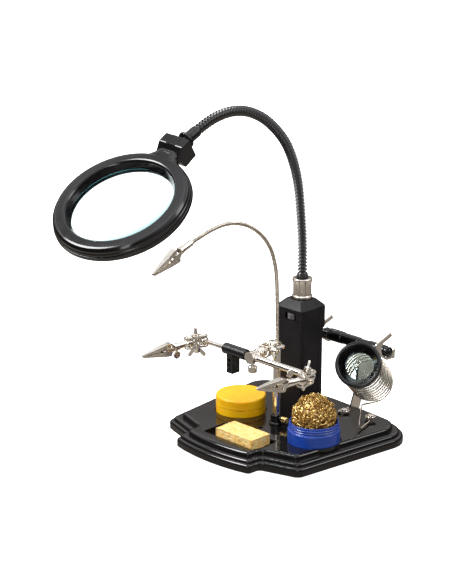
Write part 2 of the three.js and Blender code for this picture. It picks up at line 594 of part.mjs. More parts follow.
const ARM_R = 1.85;
const ARM_PATH = smooth([
  v(POST.x, POST.y, 86), v(POST.x, POST.y, 104), v(POST.x, -8.4, 130), v(POST.x, -9.6, 154),
  v(POST.x, -12.2, 167),
  v(POST.x, -17, 179.5), v(POST.x, -27, 192.8), v(POST.x, -40.8, 203.4), v(POST.x, -56, 209.8),
  v(POST.x, -71.4, 212),
  v(POST.x, -87, 210.5), v(POST.x, -101.5, 206.8), v(POST.x, -114, 203),
]);
const ARM_SPLIT = 0.5;
const ARM_BREAK = 0.15 / ARM_PATH.getLength();
const armLower = portion(ARM_PATH, 0, ARM_SPLIT - ARM_BREAK);
const armUpper = portion(ARM_PATH, ARM_SPLIT + ARM_BREAK, 1);
addNode('arm_gooseneck_lower', bar(armLower, ARM_R, 12, 8, false, true), 'chrome');
addNode('arm_gooseneck_upper', bar(armUpper, ARM_R, 9, 8, true, false), 'chrome');
const armDir = v(0, -0.945, -0.33).normalize();
const armEnd = ARM_PATH.getPointAt(1);
addNode('arm_clip_sleeve', cut(
  placeAlong(turned([[0, 0], [2.6, 0], [2.9, 0.6], [2.9, 11], [3.4, 11.4], [3.4, 14.4], [2.6, 15],
    [0, 15]], 14),
    armEnd.clone().addScaledVector(armDir, -4), armDir),
  cylinder(ARM_R + GAP, ARM_PATH.getPointAt(0.93), armEnd.clone().addScaledVector(armDir, 1), 12),
), 'steel');
clipJaws('arm_', clipFrame(armEnd.clone().addScaledVector(armDir, 11 + GAP), v(0, -0.9, -0.43)));

// ---------- tins, wool and sponge ----------

const onFlux = (geometry) => geometry.translate(FLUX.x, FLUX.y, RECESS_FLOOR + 0.1);
addNode('flux_tin_base', onFlux(turned([
  [0, 0], [FLUX.r - 0.8, 0], [FLUX.r, 0.8], [FLUX.r, 9.4], [FLUX.r - 2.2, 9.4], [FLUX.r - 2.2, 2], [0, 2],
], 30)), 'yellow');
addNode('flux_tin_lid', onFlux(turned([
  [0, 16.6], [FLUX.r - 2.4, 16.6], [FLUX.r - 2.4, 9.7], [FLUX.r + 0.2, 9.7], [FLUX.r + 0.2, 17.6],
  [FLUX.r - 0.6, 18.7],
  [FLUX.r - 1.4, 18.9], [0, 18.9],
], 30)), 'yellow');
addNode('wool_tin', turned([
  [0, 0], [WOOL.r - 0.8, 0], [WOOL.r, 0.8], [WOOL.r, 13.6], [WOOL.r - 0.7, 14.4], [WOOL.r - 1.4, 14.6],
  [WOOL.r - 1.4, 17.6], [WOOL.r - 0.9, 18], [WOOL.r - 1.4, 18.4], [WOOL.r - 1.4, 21], [WOOL.r - 2.8, 21],
  [WOOL.r - 2.8, 2], [0, 2],
], 30).translate(WOOL.x, WOOL.y, RECESS_FLOOR + 0.1), 'blue');

// Tangled curls read as a lumpy ball; the lumps come from a few fixed waves.
function lumpyBall(radius, rise, columns, rows) {
  const rings = [];
  for (let j = 1; j < rows; j += 1) {
    const polar = Math.PI - (Math.PI * j) / rows;
    rings.push(Array.from({ length: columns }, (_, i) => {
      const turn = (TAU * i) / columns;
      const lump = 1 + 0.03 * Math.sin(9 * turn + 7 * polar) + 0.025 * Math.cos(14 * turn - 11 * polar);
      const wide = radius * lump * Math.sin(polar);
      return v(wide * Math.cos(turn), wide * Math.sin(turn), rise * lump * Math.cos(polar));
    }));
  }
  return loft(rings);
}
addNode('brass_wool', lumpyBall(19.4, 21, 20, 10).translate(WOOL.x, WOOL.y, RECESS_FLOOR + 24.6), 'brass');
addNode('sponge', extruded(filleted([[-22, -12, 1], [22, -12, 1], [22, 12, 1], [-22, 12, 1]], 2), 10.4, 0.5)
  .translate(8.5, -51.5, RECESS_FLOOR - 0.3), 'sponge');

// ---------- coil stand ----------

const COIL = { from: v(57, 62, 51), to: v(82, 16, 84), r: 18.2, wire: 0.9, turns: 8.25 };
const coilAxis = COIL.to.clone().sub(COIL.from);
const coilDir = coilAxis.clone().normalize();
const coilSide = new THREE.Vector3().crossVectors(coilDir, Z_AXIS).normalize();
const coilUp = new THREE.Vector3().crossVectors(coilSide, coilDir);
const coilPoint = (share, angle) => COIL.from.clone().addScaledVector(coilAxis, share)
  .addScaledVector(coilSide, COIL.r * Math.cos(angle)).addScaledVector(coilUp, COIL.r * Math.sin(angle));
const START_ANGLE = deg(250);
const coilPoints = [];
const COIL_STEPS = 12 * COIL.turns;
for (let k = 0; k <= COIL_STEPS; k += 1) {
  coilPoints.push(coilPoint(k / COIL_STEPS, START_ANGLE - (TAU * k) / 12));
}
const WIRE_Z = DECK + 1.9;
const [screwX, screwY] = COIL_SCREWS[1];
const wirePath = smooth([
  v(screwX - 3.9, screwY + 1.6, WIRE_Z), v(screwX - 3.4, screwY - 3.6, WIRE_Z),
  v(screwX + 3, screwY - 5, WIRE_Z),
  v(67.6, 42, WIRE_Z), v(70.4, 31, WIRE_Z), v(70.2, 30.6, DECK + 4), v(69, 33, DECK + 12),
  v(67.9, 35.6, DECK + 20),
  v(67.2, 38, DECK + 21.4), v(65.4, 46, DECK + 20), ...coilPoints,
]);
addNode('iron_coil', bar(wirePath, COIL.wire, 150, 5), 'steel');

// ---------- loupe in the coil's mouth ----------

const onLoupe = (geometry) => placeAlong(geometry, COIL.to, coilAxis);
addNode('loupe_cup', onLoupe(turnedRing([
  [15.4, -8], [16.2, -8], [16.2, 2.2], [19.6, 2.2], [20.2, 3], [20.2, 7.4], [19.4, 8.4], [17.4, 8.6],
  [12.2, 1.5],
  [11.6, -1.2], [12.6, -1.2], [12.6, -4], [15.4, -4],
], 24)), 'rubber');
addNode('loupe_lens', onLoupe(turned([
  [0, -4.3], [6, -4.1], [12.3, -3.2], [12.3, -1.6], [11, -1.5], [0, -0.3],
], 20)), 'glass');

// ---------- spool bracket and axle ----------

const STRAP_T = 1.5;
const AXLE = { y: 64, z: 82.5, left: -5 };
const ARMS = [2.5, 72];
const STEM_X = 33;
const CROSS = { y: 72, low: 74.8, high: 82.4 };
const [tabX, tabY] = COIL_SCREWS[0];
const strapTab = extruded(filleted([
  [tabX - 5.5, tabY - 5.5, 4], [STEM_X + STRAP_T / 2, tabY - 5.5, 2], [STEM_X + STRAP_T / 2, 72.5, 0],
  [tabX - 3, 72.5, 3], [tabX - 5.5, tabY + 5, 3],
], 3), STRAP_T).translate(0, 0, DECK + 0.1);
// Plate standing across X; its outline is given as [y, z, fillet].
const standing = (outline, x) => extruded(filleted(outline, 2), STRAP_T)
  .rotateX(Math.PI / 2).rotateZ(Math.PI / 2).translate(x - STRAP_T / 2, 0, 0);
const stem = standing([
  [58.5, DECK + 0.1, 0], [72.5, DECK + 0.1, 0], [83, 47, 5], [80.5, 74, 4],
  [CROSS.y + STRAP_T, CROSS.high, 0],
  [CROSS.y, CROSS.high, 0], [CROSS.y, CROSS.low, 2], [70, 46, 5],
], STEM_X);
const crossPiece = block(
  v(ARMS[0] - STRAP_T / 2, CROSS.y, CROSS.low),
  v(ARMS[1] + STRAP_T / 2, CROSS.y + STRAP_T, CROSS.high),
);
const HOOK = [
  [73.5, 74.8, 0], [62.5, 75.2, 3], [57.3, 78.6, 2], [51.8, 84, 3], [47.5, 90, 2], [48.5, 93, 2],
  [67.4, 99.4, 0], [69.2, 96, 0],
  [57.5, 92, 1], [54.4, 88.5, 2], [55.6, 82.6, 3], [59.4, 78.8, 2], [64, 77.5, 3], [68.4, 79.2, 2],
  [72.2, 84.6, 0], [74.4, 83.2, 0], [73.5, 81.4, 0],
];
addNode('spool_bracket', cut(
  union(strapTab, stem, crossPiece, ...ARMS.map((x) => standing(HOOK, x))),
  disc(tabX, tabY, 2.2, DECK - 1, DECK + 3, 12),
), 'steel');
addNode('spool_axle', placeAlong(turned([
  [0, 0], [3, 0], [3.4, 0.5], [3.4, 3.6], [5.2, 4], [5.2, 5.6], [4.2, 6], [4.2, 9], [5.7, 9.4], [5.7, 25],
  [5.2, 25.6], [5.2, 44], [4.6, 44.6], [4.6, 56], [5.2, 56.6], [5.2, 75], [4.2, 75.4], [4.2, 78],
  [4.8, 78.3], [4.8, 79.2], [3.2, 79.6], [2.6, 80.4], [0, 80.8],
], 14), v(AXLE.left, AXLE.y, AXLE.z), X_AXIS), 'gloss');

const SCREW_NAMES = ['coil_screw_left', 'coil_screw_right'];
const SCREW_LIFT = [DECK + 0.1 + STRAP_T + 0.15, DECK + 3.4];
COIL_SCREWS.forEach(([x, y], i) => {
  const z = SCREW_LIFT[i];
  addNode(SCREW_NAMES[i], cut(
    turned([
      [0, DECK - 5], [1.6, DECK - 5], [1.6, z], [5, z], [5, z + 0.8], [3.4, z + 0.9], [3.2, z + 1.8],
      [2, z + 2.6], [0, z + 2.9],
    ], 18).translate(x, y, 0),
    block(v(x - 0.4, y - 2.2, z + 1.9), v(x + 0.4, y + 2.2, z + 4)),
    block(v(x - 2.2, y - 0.4, z + 1.9), v(x + 2.2, y + 0.4, z + 4)),
  ), 'steel');
});

export default group;
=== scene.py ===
import json
import math
import random

import bmesh
import bpy
from mathutils import Matrix, Vector, geometry, noise


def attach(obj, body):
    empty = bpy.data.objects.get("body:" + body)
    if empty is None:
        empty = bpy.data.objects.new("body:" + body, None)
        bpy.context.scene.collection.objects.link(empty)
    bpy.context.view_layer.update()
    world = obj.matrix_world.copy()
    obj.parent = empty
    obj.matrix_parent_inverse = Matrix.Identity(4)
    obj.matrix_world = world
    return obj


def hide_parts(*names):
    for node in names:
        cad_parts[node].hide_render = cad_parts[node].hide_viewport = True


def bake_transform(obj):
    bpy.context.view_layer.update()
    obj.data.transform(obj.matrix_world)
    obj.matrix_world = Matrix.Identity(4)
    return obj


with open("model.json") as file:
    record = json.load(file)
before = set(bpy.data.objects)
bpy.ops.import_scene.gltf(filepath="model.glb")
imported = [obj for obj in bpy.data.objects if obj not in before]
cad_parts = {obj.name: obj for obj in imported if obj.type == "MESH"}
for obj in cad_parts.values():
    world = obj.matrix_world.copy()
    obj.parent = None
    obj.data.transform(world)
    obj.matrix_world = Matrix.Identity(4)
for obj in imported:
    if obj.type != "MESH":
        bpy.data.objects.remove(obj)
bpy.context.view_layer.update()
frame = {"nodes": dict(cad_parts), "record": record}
NODES = frame["nodes"]
BODY_OF = {n: b for b, nodes in frame["record"]["behaviour"]["bodies"].items() for n in nodes}
SLOT_OF = {s["node"]: s["material_slot"] for s in frame["record"]["subparts"]}

MM = 0.001
TAU = 2 * math.pi


def mm(x, y, z):
    return Vector((x, y, z)) * MM


# ---------- camera, light and floor ----------

CAMERA_AT = mm(1089, -1137.6, 639)
CAMERA_TARGET = mm(0, -63.5, 149.7)
CAMERA_LENS = 117.1
CAMERA_REACH = 20
LIGHT_TARGET = (0, 0, 0.1)
LIGHTS = [  # name, place, size, watts
    ("key", (-1.1, -1.3, 1.9), (1.0, 1.0), 62),
    ("rim", (1.3, 0.9, 1.5), (0.7, 1.4), 12),
    ("front_strip", (1.0, -1.6, 0.7), (0.35, 1.3), 6),
]
WORLD_STRENGTH = 1.2
WORLD_BANDS = [  # sine of the height above the horizon, colour
    (-1.0, (0.60, 0.56, 0.50)), (-0.45, (0.40, 0.37, 0.33)), (-0.27, (0.20, 0.18, 0.16)),
    (-0.16, (0.05, 0.038, 0.030)), (0.22, (0.10, 0.08, 0.07)), (0.36, (0.32, 0.30, 0.29)),
    (0.62, (1.1, 1.1, 1.1)), (0.8, (0.45, 0.45, 0.46)), (1.0, (1.7, 1.7, 1.75)),
]
FLOOR_HALF = 6
FLOOR_WHITE = 0.93
FLOOR_GLOW = 1.2


def add_camera():
    data = bpy.data.cameras.new("camera")
    data.lens = CAMERA_LENS
    data.clip_end = CAMERA_REACH
    cam = bpy.data.objects.new("camera", data)
    cam.location = CAMERA_AT
    cam.rotation_euler = (CAMERA_TARGET - CAMERA_AT).to_track_quat("-Z", "Y").to_euler()
    bpy.context.collection.objects.link(cam)
    bpy.context.scene.camera = cam


def add_area(name, at, target, size, power):
    data = bpy.data.lights.new(name, "AREA")
    data.shape = "RECTANGLE"
    data.size, data.size_y = size
    data.energy = power
    lamp = bpy.data.objects.new(name, data)
    lamp.location = at
    lamp.rotation_euler = (Vector(target) - Vector(at)).to_track_quat("-Z", "Y").to_euler()
    bpy.context.collection.objects.link(lamp)


def add_world(strength, bands):
    """Studio surroundings whose brightness depends only on height above the horizon."""
    world = bpy.data.worlds.new("studio")
    world.use_nodes = True
    bpy.context.scene.world = world
    tree = world.node_tree
    coords = tree.nodes.new("ShaderNodeTexCoord")
    split = tree.nodes.new("ShaderNodeSeparateXYZ")
    rescale = tree.nodes.new("ShaderNodeMapRange")
    rescale.inputs["From Min"].default_value = -1
    ramp = tree.nodes.new("ShaderNodeValToRGB")
    while len(ramp.color_ramp.elements) < len(bands):
        ramp.color_ramp.elements.new(0.5)
    for element, (height, colour) in zip(ramp.color_ramp.elements, bands):
        element.position = (height + 1) / 2
        element.color = (*colour, 1)
    tree.links.new(coords.outputs["Generated"], split.inputs["Vector"])
    tree.links.new(split.outputs["Z"], rescale.inputs["Value"])
    tree.links.new(rescale.outputs["Result"], ramp.inputs["Fac"])
    tree.links.new(ramp.outputs["Color"], tree.nodes["Background"].inputs["Color"])
    tree.nodes["Background"].inputs["Strength"].default_value = strength


# ---------- materials ----------

def new_material(name, colour, roughness, metallic=0.0, coat=0.0, specular=0.5):
    mat = bpy.data.materials.new(name)
    mat.use_nodes = True
    shader = mat.node_tree.nodes["Principled BSDF"]
    shader.inputs["Base Color"].default_value = (*colour, 1)
    shader.inputs["Roughness"].default_value = roughness
    shader.inputs["Metallic"].default_value = metallic
    shader.inputs["Specular IOR Level"].default_value = specular
    shader.inputs["Coat Weight"].default_value = coat
    shader.inputs["Coat Roughness"].default_value = 0.05
    return mat, mat.node_tree, shader


def add_noise(tree, scale, detail=4.0, stretch=(1, 1, 1)):
    coords = tree.nodes.new("ShaderNodeTexCoord")
    mapping = tree.nodes.new("ShaderNodeMapping")
    mapping.inputs["Scale"].default_value = stretch
    texture = tree.nodes.new("ShaderNodeTexNoise")
    texture.inputs["Scale"].default_value = scale
    texture.inputs["Detail"].default_value = detail
    tree.links.new(coords.outputs["Object"], mapping.inputs["Vector"])
    tree.links.new(mapping.outputs["Vector"], texture.inputs["Vector"])
    return texture.outputs["Fac"]


def add_ramp(tree, source, low, high, start=0.3, end=0.7):
    ramp = tree.nodes.new("ShaderNodeValToRGB")
    ramp.color_ramp.elements[0].position = start
    ramp.color_ramp.elements[1].position = end
    ramp.color_ramp.elements[0].color = (*low, 1)
    ramp.color_ramp.elements[1].color = (*high, 1)
    tree.links.new(source, ramp.inputs["Fac"])
    return ramp.outputs["Color"]


def add_bump(tree, shader, height, strength, distance):
    bump = tree.nodes.new("ShaderNodeBump")
    bump.inputs["Strength"].default_value = strength
    bump.inputs["Distance"].default_value = distance
    tree.links.new(height, bump.inputs["Height"])
    tree.links.new(bump.outputs["Normal"], shader.inputs["Normal"])


def finished(name, dark, light, rough, scales, bump,
             metallic=0.0, coat=0.0, specular=0.5, stretch=(1, 1, 1)):
    """Colour drifts between two tones, roughness between two values, over a fine surface relief.

    scales holds the noise scales of the tone and the grain, bump the relief's strength and depth in metres.
    """
    mat, tree, shader = new_material(name, light, sum(rough) / 2, metallic, coat, specular)
    tone_scale, grain_scale = scales
    tone = add_noise(tree, tone_scale, 5)
    tree.links.new(add_ramp(tree, tone, dark, light), shader.inputs["Base Color"])
    wear = add_noise(tree, tone_scale * 2.3, 6, stretch)
    low, high = [(value,) * 3 for value in rough]
    tree.links.new(add_ramp(tree, wear, low, high), shader.inputs["Roughness"])
    strength, distance = bump
    add_bump(tree, shader, add_noise(tree, grain_scale, 3, stretch), strength, distance)
    return mat


GLASS_IOR = 1.18  # lower than real glass, so that what lies behind isn't bent far


def clear_material(name, tint):
    mat, tree, shader = new_material(name, tint, 0.0)
    shader.inputs["Transmission Weight"].default_value = 1.0
    shader.inputs["IOR"].default_value = GLASS_IOR
    return mat, tree, shader


def glass(name, tint):
    """Evenly tinted glass with a faint drift in its tint."""
    mat, tree, shader = clear_material(name, tint)
    tone = add_noise(tree, 30, 2)
    pale = tuple(min(1.0, c * 1.04) for c in tint)
    tree.links.new(add_ramp(tree, tone, tint, pale), shader.inputs["Base Color"])
    return mat


def lens_glass(name, clear, edge, centre, inner, outer):
    """Glass that turns to the edge colour, a painted reflection, between two distances from a point beside
    its middle.
    """
    mat, tree, shader = clear_material(name, clear)
    coords = tree.nodes.new("ShaderNodeTexCoord")
    reach = tree.nodes.new("ShaderNodeVectorMath")
    reach.operation = "DISTANCE"
    reach.inputs[1].default_value = centre
    rescale = tree.nodes.new("ShaderNodeMapRange")
    rescale.inputs["From Min"].default_value = inner
    rescale.inputs["From Max"].default_value = outer
    tree.links.new(coords.outputs["Object"], reach.inputs[0])
    tree.links.new(reach.outputs["Value"], rescale.inputs["Value"])
    tone = add_ramp(tree, rescale.outputs["Result"], clear, edge, 0.0, 1.0)
    tree.links.new(tone, shader.inputs["Base Color"])
    return mat


def let_light_in(mat, weight, radius):
    """Light enters the surface and comes out again up to the radius away, in metres per colour."""
    shader = mat.node_tree.nodes["Principled BSDF"]
    shader.inputs["Subsurface Weight"].default_value = weight
    shader.inputs["Subsurface Radius"].default_value = radius
    return mat


def sponge_material():
    foam = finished("sponge_foam", (0.88, 0.50, 0.11), (1.0, 0.78, 0.36), (0.8, 0.95), (260, 1500),
                    (0.9, 0.0007))
    return let_light_in(foam, 0.2, (0.003, 0.0015, 0.0006))


def plastic_with_glow(name, dark, light, radius, coat):
    shell = finished(name, dark, light, (0.26, 0.36), (45, 1800), (0.08, 0.0002), coat=coat)
    return let_light_in(shell, 0.12, radius)


MATERIALS = {
    "enamel": finished("black_enamel", (0.003, 0.0028, 0.003), (0.006, 0.0052, 0.005), (0.07, 0.13),
                       (30, 420), (0.05, 0.0004), coat=0.2, specular=0.4),
    "plastic": finished("satin_black_plastic", (0.008, 0.0075, 0.009), (0.013, 0.012, 0.014), (0.34, 0.44),
                        (60, 2600), (0.2, 0.0002), specular=0.2),
    "gloss": finished("gloss_black_plastic", (0.002, 0.002, 0.0025), (0.005, 0.005, 0.006), (0.12, 0.2),
                      (50, 1200), (0.04, 0.0002), coat=0.2, specular=0.4),
    "steel": finished("nickel_plate", (0.68, 0.62, 0.54), (0.90, 0.86, 0.80), (0.10, 0.22), (90, 1500),
                      (0.06, 0.0002), metallic=1.0, stretch=(1, 1, 0.25)),
    "chrome": finished("bright_chrome", (0.72, 0.67, 0.60), (0.92, 0.88, 0.83), (0.04, 0.10), (70, 900),
                       (0.03, 0.0001), metallic=1.0),
    "rubber": finished("black_rubber", (0.004, 0.004, 0.0045), (0.009, 0.009, 0.010), (0.20, 0.30),
                       (120, 2400), (0.08, 0.0002)),
    "yellow": plastic_with_glow("yellow_plastic", (0.97, 0.47, 0.0), (1.0, 0.57, 0.002),
                                (0.003, 0.001, 0.0002), 0.1),
    "blue": plastic_with_glow("blue_plastic", (0.005, 0.045, 0.32), (0.008, 0.062, 0.42),
                              (0.0003, 0.0006, 0.002), 0.4),
    "brass": finished("brass_curls", (0.72, 0.44, 0.10), (1.0, 0.80, 0.38), (0.12, 0.26), (160, 2000),
                      (0.1, 0.0002), metallic=1.0),
    "sponge": sponge_material(),
    "glass": glass("tinted_lens_glass", (0.78, 0.95, 0.97)),
    "led": finished("white_diffuser", (0.80, 0.80, 0.76), (0.92, 0.92, 0.89), (0.3, 0.4), (60, 900),
                    (0.05, 0.0002)),
}
# teal of the lens edge: partly the glass edge's own tint, partly painted reflection
LENS_EDGE_TINT_AND_REFLECTION = finished("lens_edge_tint_and_painted_reflection", (0.10, 0.42, 0.46), (0.22, 0.60, 0.62), (0.1, 0.2), (40, 900),
                     (0.02, 0.0001))
# dark brass of the wool's core: painted shade between the shavings
WOOL_PAINTED_SHADE = finished("brass_painted_shade", (0.10, 0.05, 0.01), (0.42, 0.24, 0.06), (0.3, 0.5), (200, 1500),
                      (0.4, 0.0006), metallic=0.6)
SWITCH_GREY = finished("switch_grey", (0.10, 0.10, 0.11), (0.20, 0.20, 0.21), (0.3, 0.4), (80, 1200),
                       (0.05, 0.0002))
LAMP_NECK_BLACK = finished("lamp_neck_black", (0.006, 0.005, 0.007), (0.012, 0.010, 0.013), (0.18, 0.26),
                           (60, 900), (0.05, 0.0002), coat=0.2, specular=0.6)
THIN_ARM_METAL = finished("dark_nickel", (0.44, 0.39, 0.32), (0.74, 0.68, 0.59), (0.14, 0.26), (90, 1500),
                          (0.06, 0.0002), metallic=1.0)

# ---------- making pieces ----------


def finish_piece(obj, body, slot, nodes=(), matrix=None):
    """Gives a piece its place, the material of its slot and its body, and hides the CAD nodes that it stands
    for.
    """
    if matrix is not None:
        obj.data.transform(matrix)
    obj.data.materials.clear()
    obj.data.materials.append(MATERIALS[slot])
    if body is not None:
        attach(obj, body)
    if nodes:
        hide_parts(*nodes)
    return obj


def mesh_object(name, verts, faces, smooth=True):
    mesh = bpy.data.meshes.new(name)
    mesh.from_pydata([tuple(p) for p in verts], [], faces)
    mesh.update()
    for polygon in mesh.polygons:
        polygon.use_smooth = smooth
    obj = bpy.data.objects.new(name, mesh)
    bpy.context.collection.objects.link(obj)
    return obj


def tidy_normals(obj, angle=35):
    """Sharp edges stay sharp and big flat faces stay flat under smooth shading."""
    bm = bmesh.new()
    bm.from_mesh(obj.data)
    bmesh.ops.recalc_face_normals(bm, faces=bm.faces)
    for edge in bm.edges:
        edge.smooth = len(edge.link_faces) == 2 and edge.calc_face_angle(0) < math.radians(angle)
    for face in bm.faces:
        face.smooth = True
    bm.to_mesh(obj.data)
    bm.free()
    weighted = obj.modifiers.new("normals", "WEIGHTED_NORMAL")
    weighted.keep_sharp = True


def rings_mesh(rings, closed_profile=False, caps=True):
    """Vertices and faces of a skin through rings of equal length."""
    count = len(rings[0])
    verts = [p for ring in rings for p in ring]
    faces = []
    rows = len(rings) if closed_profile else len(rings) - 1
    for r in range(rows):
        a, b = r * count, ((r + 1) % len(rings)) * count
        for i in range(count):
            j = (i + 1) % count
            faces.append((a + i, a + j, b + j, b + i))
    if caps and not closed_profile:
        faces.append(tuple(reversed(range(count))))
        faces.append(tuple(range(len(verts) - count, len(verts))))
    return verts, faces


MOST_OF_HALF = 0.45  # share of an edge that the rounding at one end may take
WELD = 1e-6
CAD_WELD = 2e-6
FLAT_ANGLE = math.radians(2)


def round_profile(points, radius=0.35, steps=3):
    """Rounds each corner of an open (radius, height) profile a little, in millimetres."""
    out = [Vector(points[0])]
    for before, here, after in zip(points, points[1:], points[2:]):
        here, before, after = Vector(here), Vector(before), Vector(after)
        reach = min(radius, (before - here).length * MOST_OF_HALF, (after - here).length * MOST_OF_HALF)
        start = here + (before - here).normalized() * reach
        end = here + (after - here).normalized() * reach
        for k in range(steps + 1):
            t = k / steps
            out.append(start.lerp(here, t).lerp(here.lerp(end, t), t))
    out.append(Vector(points[-1]))
    return out


def lathe(name, profile, segments=96, closed=False, radius=0.35):
    """Body of revolution about Z, from (radius, height) points in millimetres."""
    points = list(profile) + [profile[0], profile[1]] if closed else list(profile)
    rounded = round_profile(points, radius)
    if closed:
        rounded = rounded[1:-1]
    rings = []
    for r, h in rounded:
        ring = []
        for i in range(segments):
            angle = TAU * i / segments
            ring.append(mm(r * math.cos(angle), r * math.sin(angle), h))
        rings.append(ring)
    obj = mesh_object(name, *rings_mesh(rings, closed_profile=closed))
    bm = bmesh.new()
    bm.from_mesh(obj.data)
    bmesh.ops.remove_doubles(bm, verts=bm.verts, dist=WELD)
    bm.to_mesh(obj.data)
    bm.free()
    tidy_normals(obj)
    return obj


def frame_matrix(origin, x, y, z):
    """Places a piece by its origin and its own three axes."""
    matrix = Matrix((x, y, z)).transposed().to_4x4()
    matrix.translation = origin
    return matrix


def along_matrix(origin, direction):
    """Places a piece so that its own Z runs along the direction."""
    matrix = Vector((0, 0, 1)).rotation_difference(Vector(direction)).to_matrix().to_4x4()
    matrix.translation = origin
    return matrix


def curve_points(controls, per_span=12):
    """Centripetal Catmull-Rom curve through the control points."""
    ends = [controls[0] * 2 - controls[1], *controls, controls[-1] * 2 - controls[-2]]
    out = []
    for p0, p1, p2, p3 in zip(ends, ends[1:], ends[2:], ends[3:]):
        t0 = 0.0
        t1 = t0 + (p1 - p0).length ** 0.5
        t2 = t1 + (p2 - p1).length ** 0.5
        t3 = t2 + (p3 - p2).length ** 0.5
        for k in range(per_span):
            t = t1 + (t2 - t1) * k / per_span
            a1 = p0 * ((t1 - t) / (t1 - t0)) + p1 * ((t - t0) / (t1 - t0))
            a2 = p1 * ((t2 - t) / (t2 - t1)) + p2 * ((t - t1) / (t2 - t1))
            a3 = p2 * ((t3 - t) / (t3 - t2)) + p3 * ((t - t2) / (t3 - t2))
            b1 = a1 * ((t2 - t) / (t2 - t0)) + a2 * ((t - t0) / (t2 - t0))
            b2 = a2 * ((t3 - t) / (t3 - t1)) + a3 * ((t - t1) / (t3 - t1))
            out.append(b1 * ((t2 - t) / (t2 - t1)) + b2 * ((t - t1) / (t2 - t1)))
    out.append(controls[-1].copy())
    return out


def resample(points, step):
    """Points at even distances along a line of points."""
    lengths = [0.0]
    for a, b in zip(points, points[1:]):
        lengths.append(lengths[-1] + (b - a).length)
    count = max(2, round(lengths[-1] / step))
    out, k = [], 0
    for i in range(count + 1):
        target = lengths[-1] * i / count
        while k < len(points) - 2 and lengths[k + 1] < target:
            k += 1
        span = max(lengths[k + 1] - lengths[k], 1e-12)
        out.append(points[k].lerp(points[k + 1], (target - lengths[k]) / span))
    return out


def sweep(name, points, radius_at, sides=16):
    """Tube along the points; radius_at(index) gives its radius in metres."""
    normal = None
    rings = []
    for i, here in enumerate(points):
        ahead, behind = points[min(i + 1, len(points) - 1)], points[max(i - 1, 0)]
        tangent = (ahead - behind).normalized()
        if normal is None:
            normal = tangent.orthogonal().normalized()
        normal = (normal - tangent * normal.dot(tangent)).normalized()
        side = tangent.cross(normal)
        r = radius_at(i)
        turns = [TAU * k / sides for k in range(sides)]
        rings.append([here + (normal * math.cos(turn) + side * math.sin(turn)) * r for turn in turns])
    return mesh_object(name, *rings_mesh(rings))


def fillet(corners, steps=8):
    """Closed outline with a fillet of its own radius at every (x, y, radius) corner, in millimetres."""
    out = []
    for i, (x, y, radius) in enumerate(corners):
        here = Vector((x, y))
        before = Vector(corners[i - 1][:2])
        after = Vector(corners[(i + 1) % len(corners)][:2])
        if radius == 0:
            out.append(here)
            continue
        inward, outward = (before - here).normalized(), (after - here).normalized()
        half = inward.angle(outward) / 2
        reach = radius / math.tan(half)
        centre = here + (inward + outward).normalized() * (radius / math.sin(half))
        start, end = here + inward * reach - centre, here + outward * reach - centre
        for k in range(steps + 1):
            out.append(centre + start.lerp(end, k / steps).normalized() * radius)
    return out


def mirrored(right):
    """Closes the right half of an outline with its mirror image."""
    return right + [(-x, y, r) for x, y, r in reversed(right) if x > 0]


def inset(outline, distance):
    """Moves each point of an anticlockwise outline inwards."""
    out = []
    for i, here in enumerate(outline):
        edges = (here - outline[i - 1], outline[(i + 1) % len(outline)] - here)
        normals = [Vector((-e.y, e.x)).normalized() for e in edges if e.length > 1e-9]
        out.append(here + sum(normals, Vector((0, 0))).normalized() * distance)
    return out


BEVEL_SEGMENTS = 2
SHARP_ANGLE = math.radians(30)


def refine(node, bevel):
    """A detailed copy of a CAD node: merged faces, rounded edges and clean shading."""
    obj = NODES[node].copy()
    obj.data = obj.data.copy()
    obj.name = obj.data.name = node + "_detail"
    obj.parent = None
    obj.matrix_world = Matrix.Identity(4)
    for key in [k for k in obj.keys() if k.startswith("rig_")]:
        del obj[key]
    bpy.context.collection.objects.link(obj)
    bm = bmesh.new()
    bm.from_mesh(obj.data)
    bmesh.ops.remove_doubles(bm, verts=bm.verts, dist=CAD_WELD)
    bmesh.ops.dissolve_limit(bm, angle_limit=FLAT_ANGLE, verts=bm.verts, edges=bm.edges)
    for edge in bm.edges:
        edge.smooth = edge.calc_face_angle(0) < SHARP_ANGLE
    for face in bm.faces:
        face.smooth = True
    bm.to_mesh(obj.data)
    bm.free()
    rounding = obj.modifiers.new("edges", "BEVEL")
    rounding.width = bevel * MM
    rounding.segments = BEVEL_SEGMENTS
    rounding.limit_method = "ANGLE"
    rounding.angle_limit = SHARP_ANGLE
    rounding.use_clamp_overlap = True
    weighted = obj.modifiers.new("normals", "WEIGHTED_NORMAL")
    weighted.keep_sharp = False
    return finish_piece(obj, BODY_OF[node], SLOT_OF[node], [node])


# ---------- base ----------

PAD_TOP = 1.5
FLANGE_TOP = 9.5
STEP_TOP = 12.6
PLATEAU_FROM = 11
DECK = 17
RECESS_FLOOR = 13
RECESS_GAP = 0.8
TIER_OVERLAP = 2
TIER_STEPS = 6  # facets in a tier's rounded edge
TIER_ROUNDING = 2.6
PLATEAU_ROUNDING = 3
TIER_FOOT = 0.4  # chamfer under each tier
LIP, LIP_MIDDLE = 0.5, 0.15  # rounding at the rim of a recess
DECK_HOLE = (3.8, -24, 2)  # middle and radius of the small hole behind the tray
DECK_HOLE_DEPTH = 5
FLANGE = mirrored([
    (0, -86.8, 0), (16.5, -86, 0), (31.5, -84, 0), (45.2, -80.9, 4), (45.2, -67.6, 7), (81, -56.4, 7),
    (97.4, 76, 24), (60, 78, 0), (0, 82.5, 0),
])
STEP = mirrored([
    (0, -83.8, 0), (16.2, -83, 0), (30.4, -81.2, 0), (42.8, -78.4, 4), (42.8, -65, 7), (78, -53.8, 7),
    (93.8, 73.6, 22), (56, 75.8, 0), (0, 79.6, 0),
])
